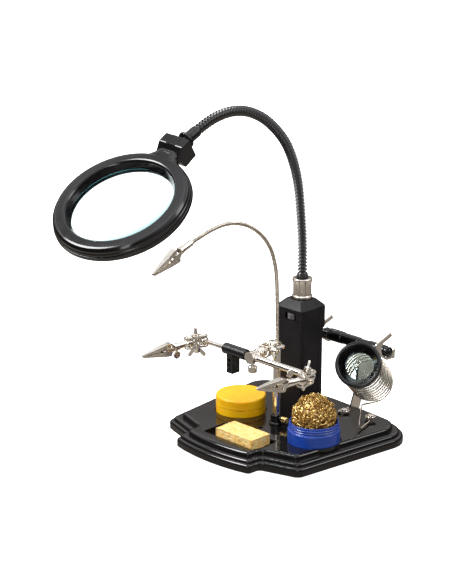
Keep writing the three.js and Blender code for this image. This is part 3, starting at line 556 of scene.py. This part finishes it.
PLATEAU = mirrored([
    (0, -78.6, 0), (15.4, -77.8, 0), (27.8, -76, 0), (38, -73.3, 4), (38, -59.9, 7), (71.3, -49.2, 6),
    (86.7, 69.5, 19), (40, 73.8, 0), (0, 76, 0),
])
TRAY = [(-26, -66, 3), (37, -66, 3), (37, -37.5, 3), (-26, -37.5, 3)]
FLUX = (-40.6, -4.5, 22.5)  # middle and radius of the flux tin
WOOL = (55, -11, 23)  # middle and radius of the wool tin


def tier(name, outline, low, high, rounding, holes=()):
    """One raised tier with a rounded upper edge. Each of the holes is an outline and a floor in its top."""
    steps = TIER_STEPS
    rings = [[(p, low) for p in inset(outline, TIER_FOOT)], [(p, low + TIER_FOOT) for p in outline]]
    for k in range(steps + 1):
        turn = math.pi / 2 * k / steps
        shift = rounding * (1 - math.cos(turn))
        height = high - rounding + rounding * math.sin(turn)
        rings.append([(p, height) for p in inset(outline, shift)])
    verts, faces = rings_mesh([[mm(p.x, p.y, z) for p, z in ring] for ring in rings], caps=False)
    count = len(outline)
    top = len(verts) - count
    loops = [[verts[top + i] for i in range(count)]]
    indices = [list(range(top, top + count))]
    for loop, floor in holes:
        rim = len(verts)
        n = len(loop)
        for spread, z in ((LIP, high), (LIP_MIDDLE, high - LIP_MIDDLE), (0, high - LIP), (0, floor)):
            verts += [mm(p.x, p.y, z) for p in inset(loop, -spread)]
        for row in range(3):
            for i in range(n):
                j = (i + 1) % n
                a = rim + row * n
                faces.append((a + j, a + i, a + n + i, a + n + j))
        faces.append(tuple(range(rim + 3 * n, rim + 4 * n)))
        loops.append([verts[rim + i] for i in range(n)])
        indices.append(list(range(rim, rim + n)))
    flat = [i for group in indices for i in group]
    for triangle in geometry.tessellate_polygon(loops):
        faces.append(tuple(flat[i] for i in triangle))
    obj = mesh_object(name, verts, faces)
    tidy_normals(obj, 40)
    return obj


def circle(x, y, radius, count=72):
    turns = [TAU * i / count for i in range(count)]
    return [Vector((x + radius * math.cos(turn), y + radius * math.sin(turn))) for turn in turns]


def make_base():
    recesses = [
        (circle(FLUX[0], FLUX[1], FLUX[2] + RECESS_GAP), RECESS_FLOOR),
        (circle(WOOL[0], WOOL[1], WOOL[2] + RECESS_GAP), RECESS_FLOOR),
        (fillet(TRAY, 6), RECESS_FLOOR - 0.5),
        (circle(*DECK_HOLE, 24), DECK - DECK_HOLE_DEPTH),
    ]
    lower = tier("base_flange", fillet(FLANGE), PAD_TOP + 0.1, FLANGE_TOP, TIER_ROUNDING)
    middle = tier("base_step", fillet(STEP), FLANGE_TOP - TIER_OVERLAP, STEP_TOP, TIER_ROUNDING)
    upper = tier("base_plateau", fillet(PLATEAU), PLATEAU_FROM, DECK, PLATEAU_ROUNDING, recesses)
    for piece in (lower, middle):
        finish_piece(piece, "base", "enamel")
    finish_piece(upper, "base", "enamel", ["base_casting"])


# ---------- goosenecks ----------

LAMP_SIDE = [  # (Y, Z) points of the lamp's neck, in its own upright plane
    (31, 130), (30.9, 150), (30.4, 174), (27.9, 201.7), (23.6, 230), (16.5, 251.5), (7.4, 267.8),
    (-5.5, 281.8), (-20.5, 293.2), (-39.5, 301.6), (-58.3, 304.2), (-76, 302), (-90, 297.3), (-100.5, 292.6),
]
LAMP_POINTS = [mm(0, y, z) for y, z in LAMP_SIDE]
LAMP_RIBS = {"radius": 4.6, "pitch": 3.2, "depth": 1.6, "sides": 24}
POST_X = 7.3
ARM_SIDE = [  # (Y, Z) points of the thin arm, in the post's upright plane
    (-8, 86), (-8, 104), (-8.4, 130), (-9.6, 154), (-12.2, 167), (-17, 179.5), (-27, 192.8), (-40.8, 203.4),
    (-56, 209.8), (-71.4, 212), (-87, 210.5), (-101.5, 206.8), (-114, 203),
]
ARM_POINTS = [mm(POST_X, y, z) for y, z in ARM_SIDE]
ARM_RIBS = {"radius": 1.85, "pitch": 1.1, "depth": 0.22, "sides": 14}
RIB_PROFILE = [1.0, 0.95, 0.3, 0.0, 0.0, 0.3]  # height along one rib, as a share of its depth


def ribbed_neck(name, controls, radius, pitch, depth, sides):
    """Flexible neck of stacked rounded coils."""
    rows = len(RIB_PROFILE)
    points = resample(curve_points(controls), pitch * MM / rows)
    return sweep(name, points, lambda i: (radius - depth * (1 - RIB_PROFILE[i % rows])) * MM, sides)


def make_goosenecks():
    """Both necks, each a fixed smooth curve from one of its bodies to the other, belonging to no body itself.
    """
    lamp = ribbed_neck("lamp_gooseneck", LAMP_POINTS, **LAMP_RIBS)
    finish_piece(lamp, None, "rubber")
    lamp.data.materials[0] = LAMP_NECK_BLACK
    collar = lathe("lamp_neck_foot", [
        (0, 0), (5, 0), (5, 14), (4.6, 14.6), (5, 15.2), (5, 16), (4.5, 16.5), (0, 16.5),
    ], 48, radius=0.3)
    finish_piece(collar, "lamp_lower", "rubber", (), Matrix.Translation(mm(0, 31, 129.5)))
    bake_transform(lamp)
    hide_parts("lamp_gooseneck_lower")
    arm = ribbed_neck("thin_arm_gooseneck", ARM_POINTS, **ARM_RIBS)
    finish_piece(arm, None, "chrome")
    arm.data.materials[0] = THIN_ARM_METAL
    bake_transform(arm)
    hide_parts("arm_gooseneck_lower", "arm_gooseneck_upper")


# ---------- magnifier ----------

HEAD_ROLL = math.radians(8)
HEAD_TILT = math.radians(29.5)
HEAD_YAW = math.radians(4.5)
HINGE = mm(0, -119.6, 283.5)
ROLL = Matrix.Rotation(HEAD_ROLL, 3, "Y")
HEAD_N = ROLL @ Matrix.Rotation(HEAD_TILT, 3, "X") @ Vector((0, 0, 1))
HEAD_X = Matrix.Rotation(HEAD_YAW, 3, HEAD_N) @ ROLL @ Vector((1, 0, 0))
HEAD_Y = HEAD_N.cross(HEAD_X)
HINGE_Y, HINGE_Z = 69.9, -3.6  # the hinge seen from the ring's centre, in the head's own frame
HEAD_CENTRE = HINGE - (HEAD_Y * HINGE_Y + HEAD_N * HINGE_Z) * MM
ON_HEAD = frame_matrix(HEAD_CENTRE, HEAD_X, HEAD_Y, HEAD_N)
HINGE_BLOCK = [(75.7, 5.0), (66.0, 4.8), (57.6, -2.9), (63.1, -14.2), (77.0, -12.8)]  # seen from the side
HINGE_BLOCK_HALF = 12.7
HINGE_BLOCK_ROUNDING = 0.7
FRONT_HEEL = (69.6, -13.6)  # where the block's front part ends, underneath
LUG_SLOT = 3.9
LUG_ROOM = 6.3
LUG_ARC_START, LUG_ARC_SPAN, LUG_ARC_STEPS = 60, 208, 20  # degrees of the hollow round the lug
NECK_STATIONS = [  # distance from the ring's centre, half width, underside, top
    (47, 20, -5.2, 0.9), (51, 18, -5.4, 1.2), (54.5, 14.8, -6.4, 1.7), (57.5, 12.4, -8.5, 1.8),
    (60, 11.2, -11, 2.4), (62.5, 11, -12, 2.6),
]
NECK_SIDES = 48
NECK_SQUARENESS = 0.6  # 1 is an ellipse, less is squarer


def prism(name, outline, low, high, rounding):
    """Outline in the head's (Y, Z) plane drawn out along X, with softened edges."""
    rings = [[mm(x, p.x, p.y) for p in outline] for x in (low, high)]
    obj = mesh_object(name, *rings_mesh(rings), smooth=False)
    bm = bmesh.new()
    bm.from_mesh(obj.data)
    bmesh.ops.recalc_face_normals(bm, faces=bm.faces)
    bmesh.ops.bevel(bm, geom=bm.edges, offset=rounding * MM, segments=4, profile=0.5, affect="EDGES",
                    clamp_overlap=True)
    bm.to_mesh(obj.data)
    bm.free()
    tidy_normals(obj, 25)
    return obj


def make_hinge_block():
    """Five-sided block that is open at the back for the lug: two cheeks and a front between them."""
    block = [Vector(corner) for corner in HINGE_BLOCK]
    for name, low, high in (
        ("hinge_cheek_left", -HINGE_BLOCK_HALF, -LUG_SLOT), ("hinge_cheek_right", LUG_SLOT, HINGE_BLOCK_HALF),
    ):
        cheek = prism(name, block, low, high, HINGE_BLOCK_ROUNDING)
        finish_piece(cheek, "magnifier", "gloss", (), ON_HEAD)
    turns = [math.radians(LUG_ARC_START + LUG_ARC_SPAN * k / LUG_ARC_STEPS) for k in range(LUG_ARC_STEPS + 1)]
    arc = [Vector((HINGE_Y, HINGE_Z)) + LUG_ROOM * Vector((math.cos(t), math.sin(t))) for t in turns]
    outline = [*block[:4], Vector(FRONT_HEEL), *reversed(arc)]
    front = prism("hinge_block_front", outline, -LUG_SLOT - 1, LUG_SLOT + 1, 0.02)
    finish_piece(front, "magnifier", "gloss", (), ON_HEAD)


def rounded_power(value):
    return math.copysign(abs(value) ** NECK_SQUARENESS, value)


def make_bezel_neck():
    """The bezel narrows and thickens into the hinge block."""
    rings = []
    turns = [TAU * k / NECK_SIDES for k in range(NECK_SIDES)]
    for y, half, low, high in NECK_STATIONS:
        middle, rise = (low + high) / 2, (high - low) / 2
        corners = [(rounded_power(math.cos(t)), rounded_power(math.sin(t))) for t in turns]
        rings.append([mm(half * across, y, middle + rise * along) for across, along in corners])
    neck = mesh_object("bezel_neck", *rings_mesh(rings))
    subdivide = neck.modifiers.new("smooth", "SUBSURF")
    subdivide.levels = subdivide.render_levels = 2
    finish_piece(neck, "magnifier", "gloss", ["lens_frame_top"], ON_HEAD)


LUG_HALF = 3.6
LUG_R = 5.6
LUG_HOLE_R = 2.3


def make_lamp_end():
    """Sleeve, flange and lug at the end of the lamp's neck."""
    start = LAMP_POINTS[-1]
    direction = (HINGE - start).normalized()
    reach = (HINGE - start).length / MM
    sleeve = lathe("lamp_end_sleeve", [
        (0, -4), (4.6, -4), (5, -3.4), (5, reach - 16), (4.6, reach - 13.8), (6.8, reach - 13.6),
        (7.4, reach - 13), (7.4, reach - 11.4), (6.8, reach - 10.8), (3.4, reach - 10.8), (3.4, reach - 3),
        (0, reach - 3),
    ], 48, radius=0.3)
    finish_piece(sleeve, "lamp_upper", "rubber", ["lamp_gooseneck_upper"], along_matrix(start, direction))
    lug = lathe("lamp_hinge_lug", [
        (LUG_HOLE_R, -LUG_HALF), (LUG_R, -LUG_HALF), (LUG_R, LUG_HALF), (LUG_HOLE_R, LUG_HALF),
    ], 48, closed=True, radius=0.5)
    finish_piece(lug, "lamp_upper", "rubber", (), along_matrix(HINGE, HEAD_X))


BEZEL_SEGMENTS = 160
LENS_SEGMENTS = 128
LENS_R = 45
LENS_RINGS = 14
LENS_TOP_EDGE, LENS_TOP_RISE = -6.1, 3.8
LENS_UNDER_EDGE, LENS_UNDER_DROP = -8.3, 3.1
LENS_CLEAR_MIDDLE = (-17, 8, 0)  # middle of the clear part of the lens, in the head's own frame
# the lens is clear near that middle and turns to a teal painted reflection in a crescent further out
LENS_CLEAR_TO, LENS_REFLECTION_FROM = 0.047, 0.060  # distances from that middle, in metres
LENS_CLEAR, LENS_PAINTED_REFLECTION = (0.62, 0.71, 0.73), (0.015, 0.13, 0.15)


def make_magnifier():
    """Two-part bezel, the lens between its halves and the light ring underneath."""
    shell = lathe("magnifier_bezel", [
        (42.6, -5.6), (57, -5.6), (57, -3.6), (56.3, -3.1), (56.3, -1.2), (54.6, 1.0), (53, 1.5), (47.4, 1.9),
        (46, 1.5), (45, 0.4),
    ], BEZEL_SEGMENTS, closed=True, radius=0.5)
    finish_piece(shell, "magnifier", "gloss", (), ON_HEAD)
    lower = lathe("magnifier_lower_shell", [
        (43, -11.4), (46.5, -11.6), (46.5, -9.7), (53.5, -9.7), (53.5, -11.6), (56, -11.2), (57.6, -9.2),
        (57.6, -5.9), (45.3, -5.9), (45.3, -8.6), (42.6, -8.6),
    ], BEZEL_SEGMENTS, closed=True, radius=0.6)
    finish_piece(lower, "magnifier", "gloss", ["lens_frame_bottom"], ON_HEAD)
    shares = [k / LENS_RINGS for k in range(LENS_RINGS + 1)]
    top = [(LENS_R * t, LENS_TOP_EDGE + LENS_TOP_RISE * (1 - t ** 2)) for t in shares]
    under = [(LENS_R * t, LENS_UNDER_EDGE - LENS_UNDER_DROP * (1 - t ** 2)) for t in shares]
    lens = lathe("magnifier_lens_detail", under + list(reversed(top)), LENS_SEGMENTS, radius=0.1)
    finish_piece(lens, "magnifier", "glass", ["magnifier_lens"], ON_HEAD)
    clear_middle = ON_HEAD @ mm(*LENS_CLEAR_MIDDLE)
    # teal painted reflection in a crescent at the lens's edge
    lens.data.materials[0] = lens_glass("lens_glass_painted_reflection", LENS_CLEAR, LENS_PAINTED_REFLECTION, clear_middle,
                                        LENS_CLEAR_TO, LENS_REFLECTION_FROM)
    rim = lathe("lens_edge", [
        (44.1, -8.0), (44.9, -8.0), (44.9, -2.6), (44.1, -2.2),
    ], BEZEL_SEGMENTS, closed=True, radius=0.2)
    finish_piece(rim, "magnifier", "glass", (), ON_HEAD)
    # rim ring in the glass edge's own teal, deepened as painted reflection
    rim.data.materials[0] = LENS_EDGE_TINT_AND_REFLECTION
    strip = lathe("led_diffuser", [
        (46.9, -11.5), (53.1, -11.5), (53.1, -10), (46.9, -10),
    ], LENS_SEGMENTS, closed=True)
    finish_piece(strip, "magnifier", "led", ["led_ring"], ON_HEAD)


# ---------- coil stand, loupe and axle ----------

COIL_FROM = mm(57, 62, 51)
COIL_TO = mm(82, 16, 84)
COIL_R = 18.2 * MM
COIL_TURNS = 8.25
COIL_STEPS = 24  # points in one turn
COIL_START = math.radians(250)
WIRE_R = 0.9
WIRE_STEP = 1.6
WIRE_LIFT = 1.9
SCREW_RIGHT = (60.7, 56.8)


def make_coil():
    """One wire: hooked round the right screw, up as a leg, then round and round as the coil."""
    axis = COIL_TO - COIL_FROM
    direction = axis.normalized()
    side = direction.cross(Vector((0, 0, 1))).normalized()
    up = side.cross(direction)
    steps = int(COIL_STEPS * COIL_TURNS)
    turns = []
    for k in range(steps + 1):
        angle = COIL_START - TAU * k / COIL_STEPS
        outward = side * COIL_R * math.cos(angle) + up * COIL_R * math.sin(angle)
        turns.append(COIL_FROM + axis * (k / steps) + outward)
    x, y = SCREW_RIGHT
    z = DECK + WIRE_LIFT
    leg = [
        mm(x - 3.9, y + 1.6, z), mm(x - 3.4, y - 3.6, z), mm(x + 3, y - 5, z), mm(67.6, 42, z),
        mm(70.4, 31, z), mm(70.2, 30.6, DECK + 4), mm(69, 33, DECK + 12), mm(67.9, 35.6, DECK + 20),
        mm(67.2, 38, DECK + 21.4), mm(65.4, 46, DECK + 20),
    ]
    points = resample(curve_points(leg + turns, 4), WIRE_STEP * MM)
    wire = sweep("coil_wire", points, lambda i: WIRE_R * MM, 12)
    finish_piece(wire, "base", "steel", ["iron_coil"])
    wire.data.materials[0] = THIN_ARM_METAL


def make_loupe():
    """Eye cup in the coil's mouth, with its small lens."""
    matrix = along_matrix(COIL_TO, COIL_TO - COIL_FROM)
    cup = lathe("loupe_shell", [
        (15.4, -8), (16.2, -8), (16.2, 2.2), (19.6, 2.2), (20.2, 3), (20.2, 7.4), (19.4, 8.4), (17.4, 8.6),
        (12.2, 1.5), (11.6, -1.2), (12.6, -1.2), (12.6, -4), (15.4, -4),
    ], 96, closed=True, radius=0.8)
    finish_piece(cup, "loupe", "gloss", ["loupe_cup"], matrix)
    glass_disc = lathe("loupe_glass", [
        (0, -4.3), (4, -4.2), (8, -3.9), (12.3, -3.2), (12.3, -1.6), (8, -0.9), (4, -0.4), (0, -0.3),
    ], 72, radius=0.3)
    finish_piece(glass_disc, "loupe", "glass", ["loupe_lens"], matrix)


AXLE_START = mm(-5, 64, 82.5)


def make_axle():
    """Turned axle that lies across the spool bracket's forks."""
    matrix = along_matrix(AXLE_START, (1, 0, 0))
    axle = lathe("spool_axle_detail", [
        (0, 0), (3, 0), (3.4, 0.5), (3.4, 3.6), (5.2, 4), (5.2, 5.6), (4.2, 6), (4.2, 9), (5.7, 9.4),
        (5.7, 25), (5.2, 25.6), (5.2, 44), (4.6, 44.6), (4.6, 56), (5.2, 56.6), (5.2, 75), (4.2, 75.4),
        (4.2, 78), (4.8, 78.3), (4.8, 79.2), (3.2, 79.6), (2.6, 80.4), (0, 80.8),
    ], 48, radius=0.4)
    finish_piece(axle, "spool_axle", "gloss", ["spool_axle"], matrix)


# ---------- tins, wool and sponge ----------

TIN_FLOOR = RECESS_FLOOR + 0.1
TIN_SEGMENTS, WOOL_TIN_SEGMENTS, LID_SEGMENTS = 128, 144, 280


def make_tins():
    """Flux tin with its lid, and the threaded wool tin."""
    at_flux = Matrix.Translation(mm(FLUX[0], FLUX[1], TIN_FLOOR))
    r = FLUX[2]
    pot = lathe("flux_tin_pot", [
        (0, 0), (r - 0.8, 0), (r, 0.8), (r, 9.4), (r - 2.2, 9.4), (r - 2.2, 2), (0, 2),
    ], TIN_SEGMENTS, radius=0.4)
    finish_piece(pot, "flux_tin", "yellow", ["flux_tin_base"], at_flux)
    lid = lathe("flux_tin_cap", [
        (0, 16.6), (r - 2.4, 16.6), (r - 2.4, 9.7), (r + 0.2, 9.7), (r + 0.2, 12.1), (r - 0.05, 12.4),
        (r + 0.2, 12.7), (r + 0.2, 17.6), (r - 0.6, 18.7), (r - 1.4, 18.9), (0, 18.9),
    ], LID_SEGMENTS, radius=0.5)
    finish_piece(lid, "flux_lid", "yellow", ["flux_tin_lid"], at_flux)
    w = WOOL[2]
    tin = lathe("wool_tin_pot", [
        (0, 0), (w - 0.8, 0), (w, 0.8), (w, 13.4), (w - 0.5, 14.3), (w - 1.5, 14.6), (w - 1.5, 15.6),
        (w - 0.8, 16.1), (w - 1.5, 16.6), (w - 1.5, 17.8), (w - 0.8, 18.3), (w - 1.5, 18.8), (w - 1.5, 20.6),
        (w - 1.9, 21), (w - 2.8, 20.8), (w - 2.8, 2), (0, 2),
    ], WOOL_TIN_SEGMENTS, radius=0.4)
    finish_piece(tin, "wool_tin", "blue", ["wool_tin"], Matrix.Translation(mm(WOOL[0], WOOL[1], TIN_FLOOR)))


WOOL_CENTRE = mm(WOOL[0], WOOL[1], RECESS_FLOOR + 24.6)
WOOL_REACH, WOOL_RISE = 20.4, 21.0
WOOL_SEED = 7
CURL_COUNT = 1500
CURL_DEPTH = (0.80, 0.955)  # where curls lie, as a share of the ball's size
LARGE_CURL_SHARE = 0.2
LARGE_CURL, SMALL_CURL = (0.9, 1.5), (0.45, 0.85)
CURL_TURNS = (1.3, 2.6)
CURL_PITCH = (0.5, 1.0)
RIBBON_WIDTH = (0.18, 0.30)
RIBBON_STRETCH = 1.6
RIBBON_HALF = 0.06  # half its thickness
STEPS_PER_TURN = 8
RIBBON_CORNERS = (
    (RIBBON_HALF, 0.5), (RIBBON_HALF, -0.5), (-RIBBON_HALF, -0.5), (-RIBBON_HALF, 0.5),
)
CORE_ROWS, CORE_COLUMNS = 28, 48
CORE_SIZE, CORE_LUMPS, CORE_LUMP_SCALE = 0.84, 0.06, 5


def random_direction(rng):
    return Vector((rng.gauss(0, 1), rng.gauss(0, 1), rng.gauss(0, 1))).normalized()


def on_ball(direction, share):
    """A point of the slightly tall ball, in millimetres from its middle."""
    return Vector((direction.x * WOOL_REACH, direction.y * WOOL_REACH, direction.z * WOOL_RISE)) * share


def add_curl(rng, verts, faces):
    """Adds one curled ribbon that lies along the ball's surface."""
    direction = random_direction(rng)
    centre = on_ball(direction, rng.uniform(*CURL_DEPTH))
    axis = random_direction(rng)
    axis = (axis - direction * axis.dot(direction) * 0.7).normalized()
    across = axis.orthogonal().normalized()
    other = axis.cross(across)
    curl = rng.uniform(*(LARGE_CURL if rng.random() < LARGE_CURL_SHARE else SMALL_CURL))
    turns = rng.uniform(*CURL_TURNS)
    pitch = rng.uniform(*CURL_PITCH)
    width = rng.uniform(*RIBBON_WIDTH) * RIBBON_STRETCH
    phase = rng.uniform(0, TAU)
    steps = int(turns * STEPS_PER_TURN)
    start = len(verts)
    for k in range(steps + 1):
        angle = phase + TAU * turns * k / steps
        swell = curl * (1 + 0.25 * math.sin(3.1 * k / steps + phase))
        outward = across * math.cos(angle) + other * math.sin(angle)
        spine = centre + axis * (pitch * turns * (k / steps - 0.5)) + outward * swell
        for lift, side in RIBBON_CORNERS:
            verts.append((spine + outward * lift + axis * side * width) * MM + WOOL_CENTRE)
    for k in range(steps):
        for c in range(4):
            a, b = start + 4 * k + c, start + 4 * k + (c + 1) % 4
            faces.append((a, b, b + 4, a + 4))
    faces.append((start, start + 3, start + 2, start + 1))
    last = start + 4 * steps
    faces.append((last, last + 1, last + 2, last + 3))


def make_brass_wool():
    """A ball packed with curled ribbon shavings."""
    rng = random.Random(WOOL_SEED)
    verts, faces = [], []
    for _ in range(CURL_COUNT):
        add_curl(rng, verts, faces)
    curls = mesh_object("brass_shavings", verts, faces)
    tidy_normals(curls, 50)
    finish_piece(curls, "brass_wool", "brass")


def make_wool_core():
    """Lumpy ball behind the shavings, dark brass as painted shade deep inside the wool."""
    rings = []
    for j in range(1, CORE_ROWS):
        polar = math.pi - math.pi * j / CORE_ROWS
        ring = []
        for i in range(CORE_COLUMNS):
            turn = TAU * i / CORE_COLUMNS
            level = math.sin(polar)
            spot = Vector((level * math.cos(turn), level * math.sin(turn), math.cos(polar)))
            share = CORE_SIZE + CORE_LUMPS * noise.noise(spot * CORE_LUMP_SCALE)
            ring.append(on_ball(spot, share) * MM + WOOL_CENTRE)
        rings.append(ring)
    core = mesh_object("brass_wool_core", *rings_mesh(rings))
    finish_piece(core, "brass_wool", "brass", ["brass_wool"])
    core.data.materials[0] = WOOL_PAINTED_SHADE


SPONGE_SIZE = (44, 24, 10.4)
SPONGE_CENTRE = mm(8.5, -51.5, RECESS_FLOOR - 0.3 + SPONGE_SIZE[2] / 2)
SPONGE_CUTS = (88, 48, 22)
SPONGE_INSET = 0.35
WAVE_SCALE, WAVE_HEIGHT = 0.12, 0.225
FINE_SCALE, FINE_DEPTH = 0.75, 0.35
PORE_SCALE, PORE_SHIFT, PORE_WIDTH, PORE_DEPTH = 0.33, Vector((9, 3, 5)), 0.28, 2.6
CELL_SCALE = 0.9


def cut_block(size, cuts):
    """Box about the origin, in millimetres, whose faces are cut into small squares."""
    bm = bmesh.new()
    grid = {}

    def vertex(spot):
        if spot not in grid:
            grid[spot] = bm.verts.new([(2 * n / cut - 1) * (s / 2) for n, cut, s in zip(spot, cuts, size)])
        return grid[spot]

    for axis in range(3):
        a, b = [n for n in range(3) if n != axis]
        for end in (0, cuts[axis]):
            for u in range(cuts[a]):
                for w in range(cuts[b]):
                    corners = []
                    for du, dw in ((0, 0), (1, 0), (1, 1), (0, 1)):
                        spot = [0, 0, 0]
                        spot[axis], spot[a], spot[b] = end, u + du, w + dw
                        corners.append(vertex(tuple(spot)))
                    bm.faces.new(corners)
    bmesh.ops.recalc_face_normals(bm, faces=bm.faces)
    bm.normal_update()
    return bm


def sponge_shift(spot):
    """How far the sponge's surface moves out at a spot, in millimetres; pores move it in."""
    pores = noise.cell(spot * CELL_SCALE)
    wave = noise.noise(spot * WAVE_SCALE)
    fine = abs(noise.noise(spot * FINE_SCALE)) ** 0.5
    deep = max(0.0, PORE_WIDTH - abs(noise.noise(spot * PORE_SCALE + PORE_SHIFT))) * PORE_DEPTH
    return -SPONGE_INSET + WAVE_HEIGHT * wave - FINE_DEPTH * (1 - fine) - deep * (0.6 + 0.4 * pores)


def make_sponge():
    """Cellulose block with pores, soft corners and slightly uneven faces."""
    bm = cut_block(SPONGE_SIZE, SPONGE_CUTS)
    moves = {}
    for vert in bm.verts:
        spot = vert.co.copy()
        moves[vert] = spot + vert.normal * sponge_shift(spot)
    for vert, place in moves.items():
        vert.co = place * MM + SPONGE_CENTRE
    for face in bm.faces:
        face.smooth = True
    mesh = bpy.data.meshes.new("sponge_block")
    bm.to_mesh(mesh)
    bm.free()
    block = bpy.data.objects.new("sponge_block", mesh)
    bpy.context.collection.objects.link(block)
    finish_piece(block, "sponge", "sponge", ["sponge"])


# ---------- everything else keeps its CAD shape, with rounded edges ----------

USUAL_EDGE = 0.18
EDGE = {  # rounding of the edges that differ from the usual one, in millimetres
    "anti_slip_pad": 0.3, "post_socket": 0.3, "post_thumbscrew": 0.2, "post": 0.3, "housing_front": 0.6,
    "housing_back": 0.6, "battery_cover": 0.3, "battery_pack": 0.4, "switch_slider": 0.15,
    "gooseneck_ferrule": 0.3, "spool_bracket": 0.3, "tool_holder": 0.4,
}
REPLACED = {  # nodes that the pieces above already stand for
    "base_casting", "lamp_gooseneck_lower", "lamp_gooseneck_upper", "arm_gooseneck_lower",
    "arm_gooseneck_upper", "lens_frame_top", "lens_frame_bottom", "magnifier_lens", "led_ring", "iron_coil",
    "loupe_cup", "loupe_lens", "spool_axle", "flux_tin_base", "flux_tin_lid", "wool_tin", "brass_wool",
    "sponge",
}


def refine_rest():
    """A detailed copy of every node that has no piece of its own yet."""
    for node in sorted(NODES):
        if node not in REPLACED:
            piece = refine(node, EDGE.get(node, USUAL_EDGE))
            if node == "switch_slider":
                piece.data.materials[0] = SWITCH_GREY


def make_floor():
    """Bright sweep under the object that adds nothing to its light or its mirror reflections."""
    half = FLOOR_HALF
    corners = [(-half, -half, 0), (half, -half, 0), (half, half, 0), (-half, half, 0)]
    floor = mesh_object("studio_floor", corners, [(0, 1, 2, 3)], False)
    mat, tree, shader = new_material("pale_floor", (FLOOR_WHITE,) * 3, 0.8)
    darker, lighter = (FLOOR_WHITE - 0.01,) * 3, (FLOOR_WHITE + 0.01,) * 3
    tree.links.new(add_ramp(tree, add_noise(tree, 0.6, 2), darker, lighter), shader.inputs["Base Color"])
    shader.inputs["Emission Color"].default_value = (1, 1, 1, 1)
    shader.inputs["Emission Strength"].default_value = FLOOR_GLOW
    floor.data.materials.append(mat)
    floor.visible_diffuse = False
    floor.visible_glossy = False


bpy.context.scene.view_settings.view_transform = "Standard"
add_camera()
add_world(WORLD_STRENGTH, WORLD_BANDS)
for light, place, size, watts in LIGHTS:
    add_area(light, place, LIGHT_TARGET, size, watts)
make_floor()
make_base()
make_goosenecks()
make_magnifier()
make_hinge_block()
make_bezel_neck()
make_lamp_end()
make_coil()
make_loupe()
make_axle()
make_tins()
make_brass_wool()
make_wool_core()
make_sponge()
refine_rest()
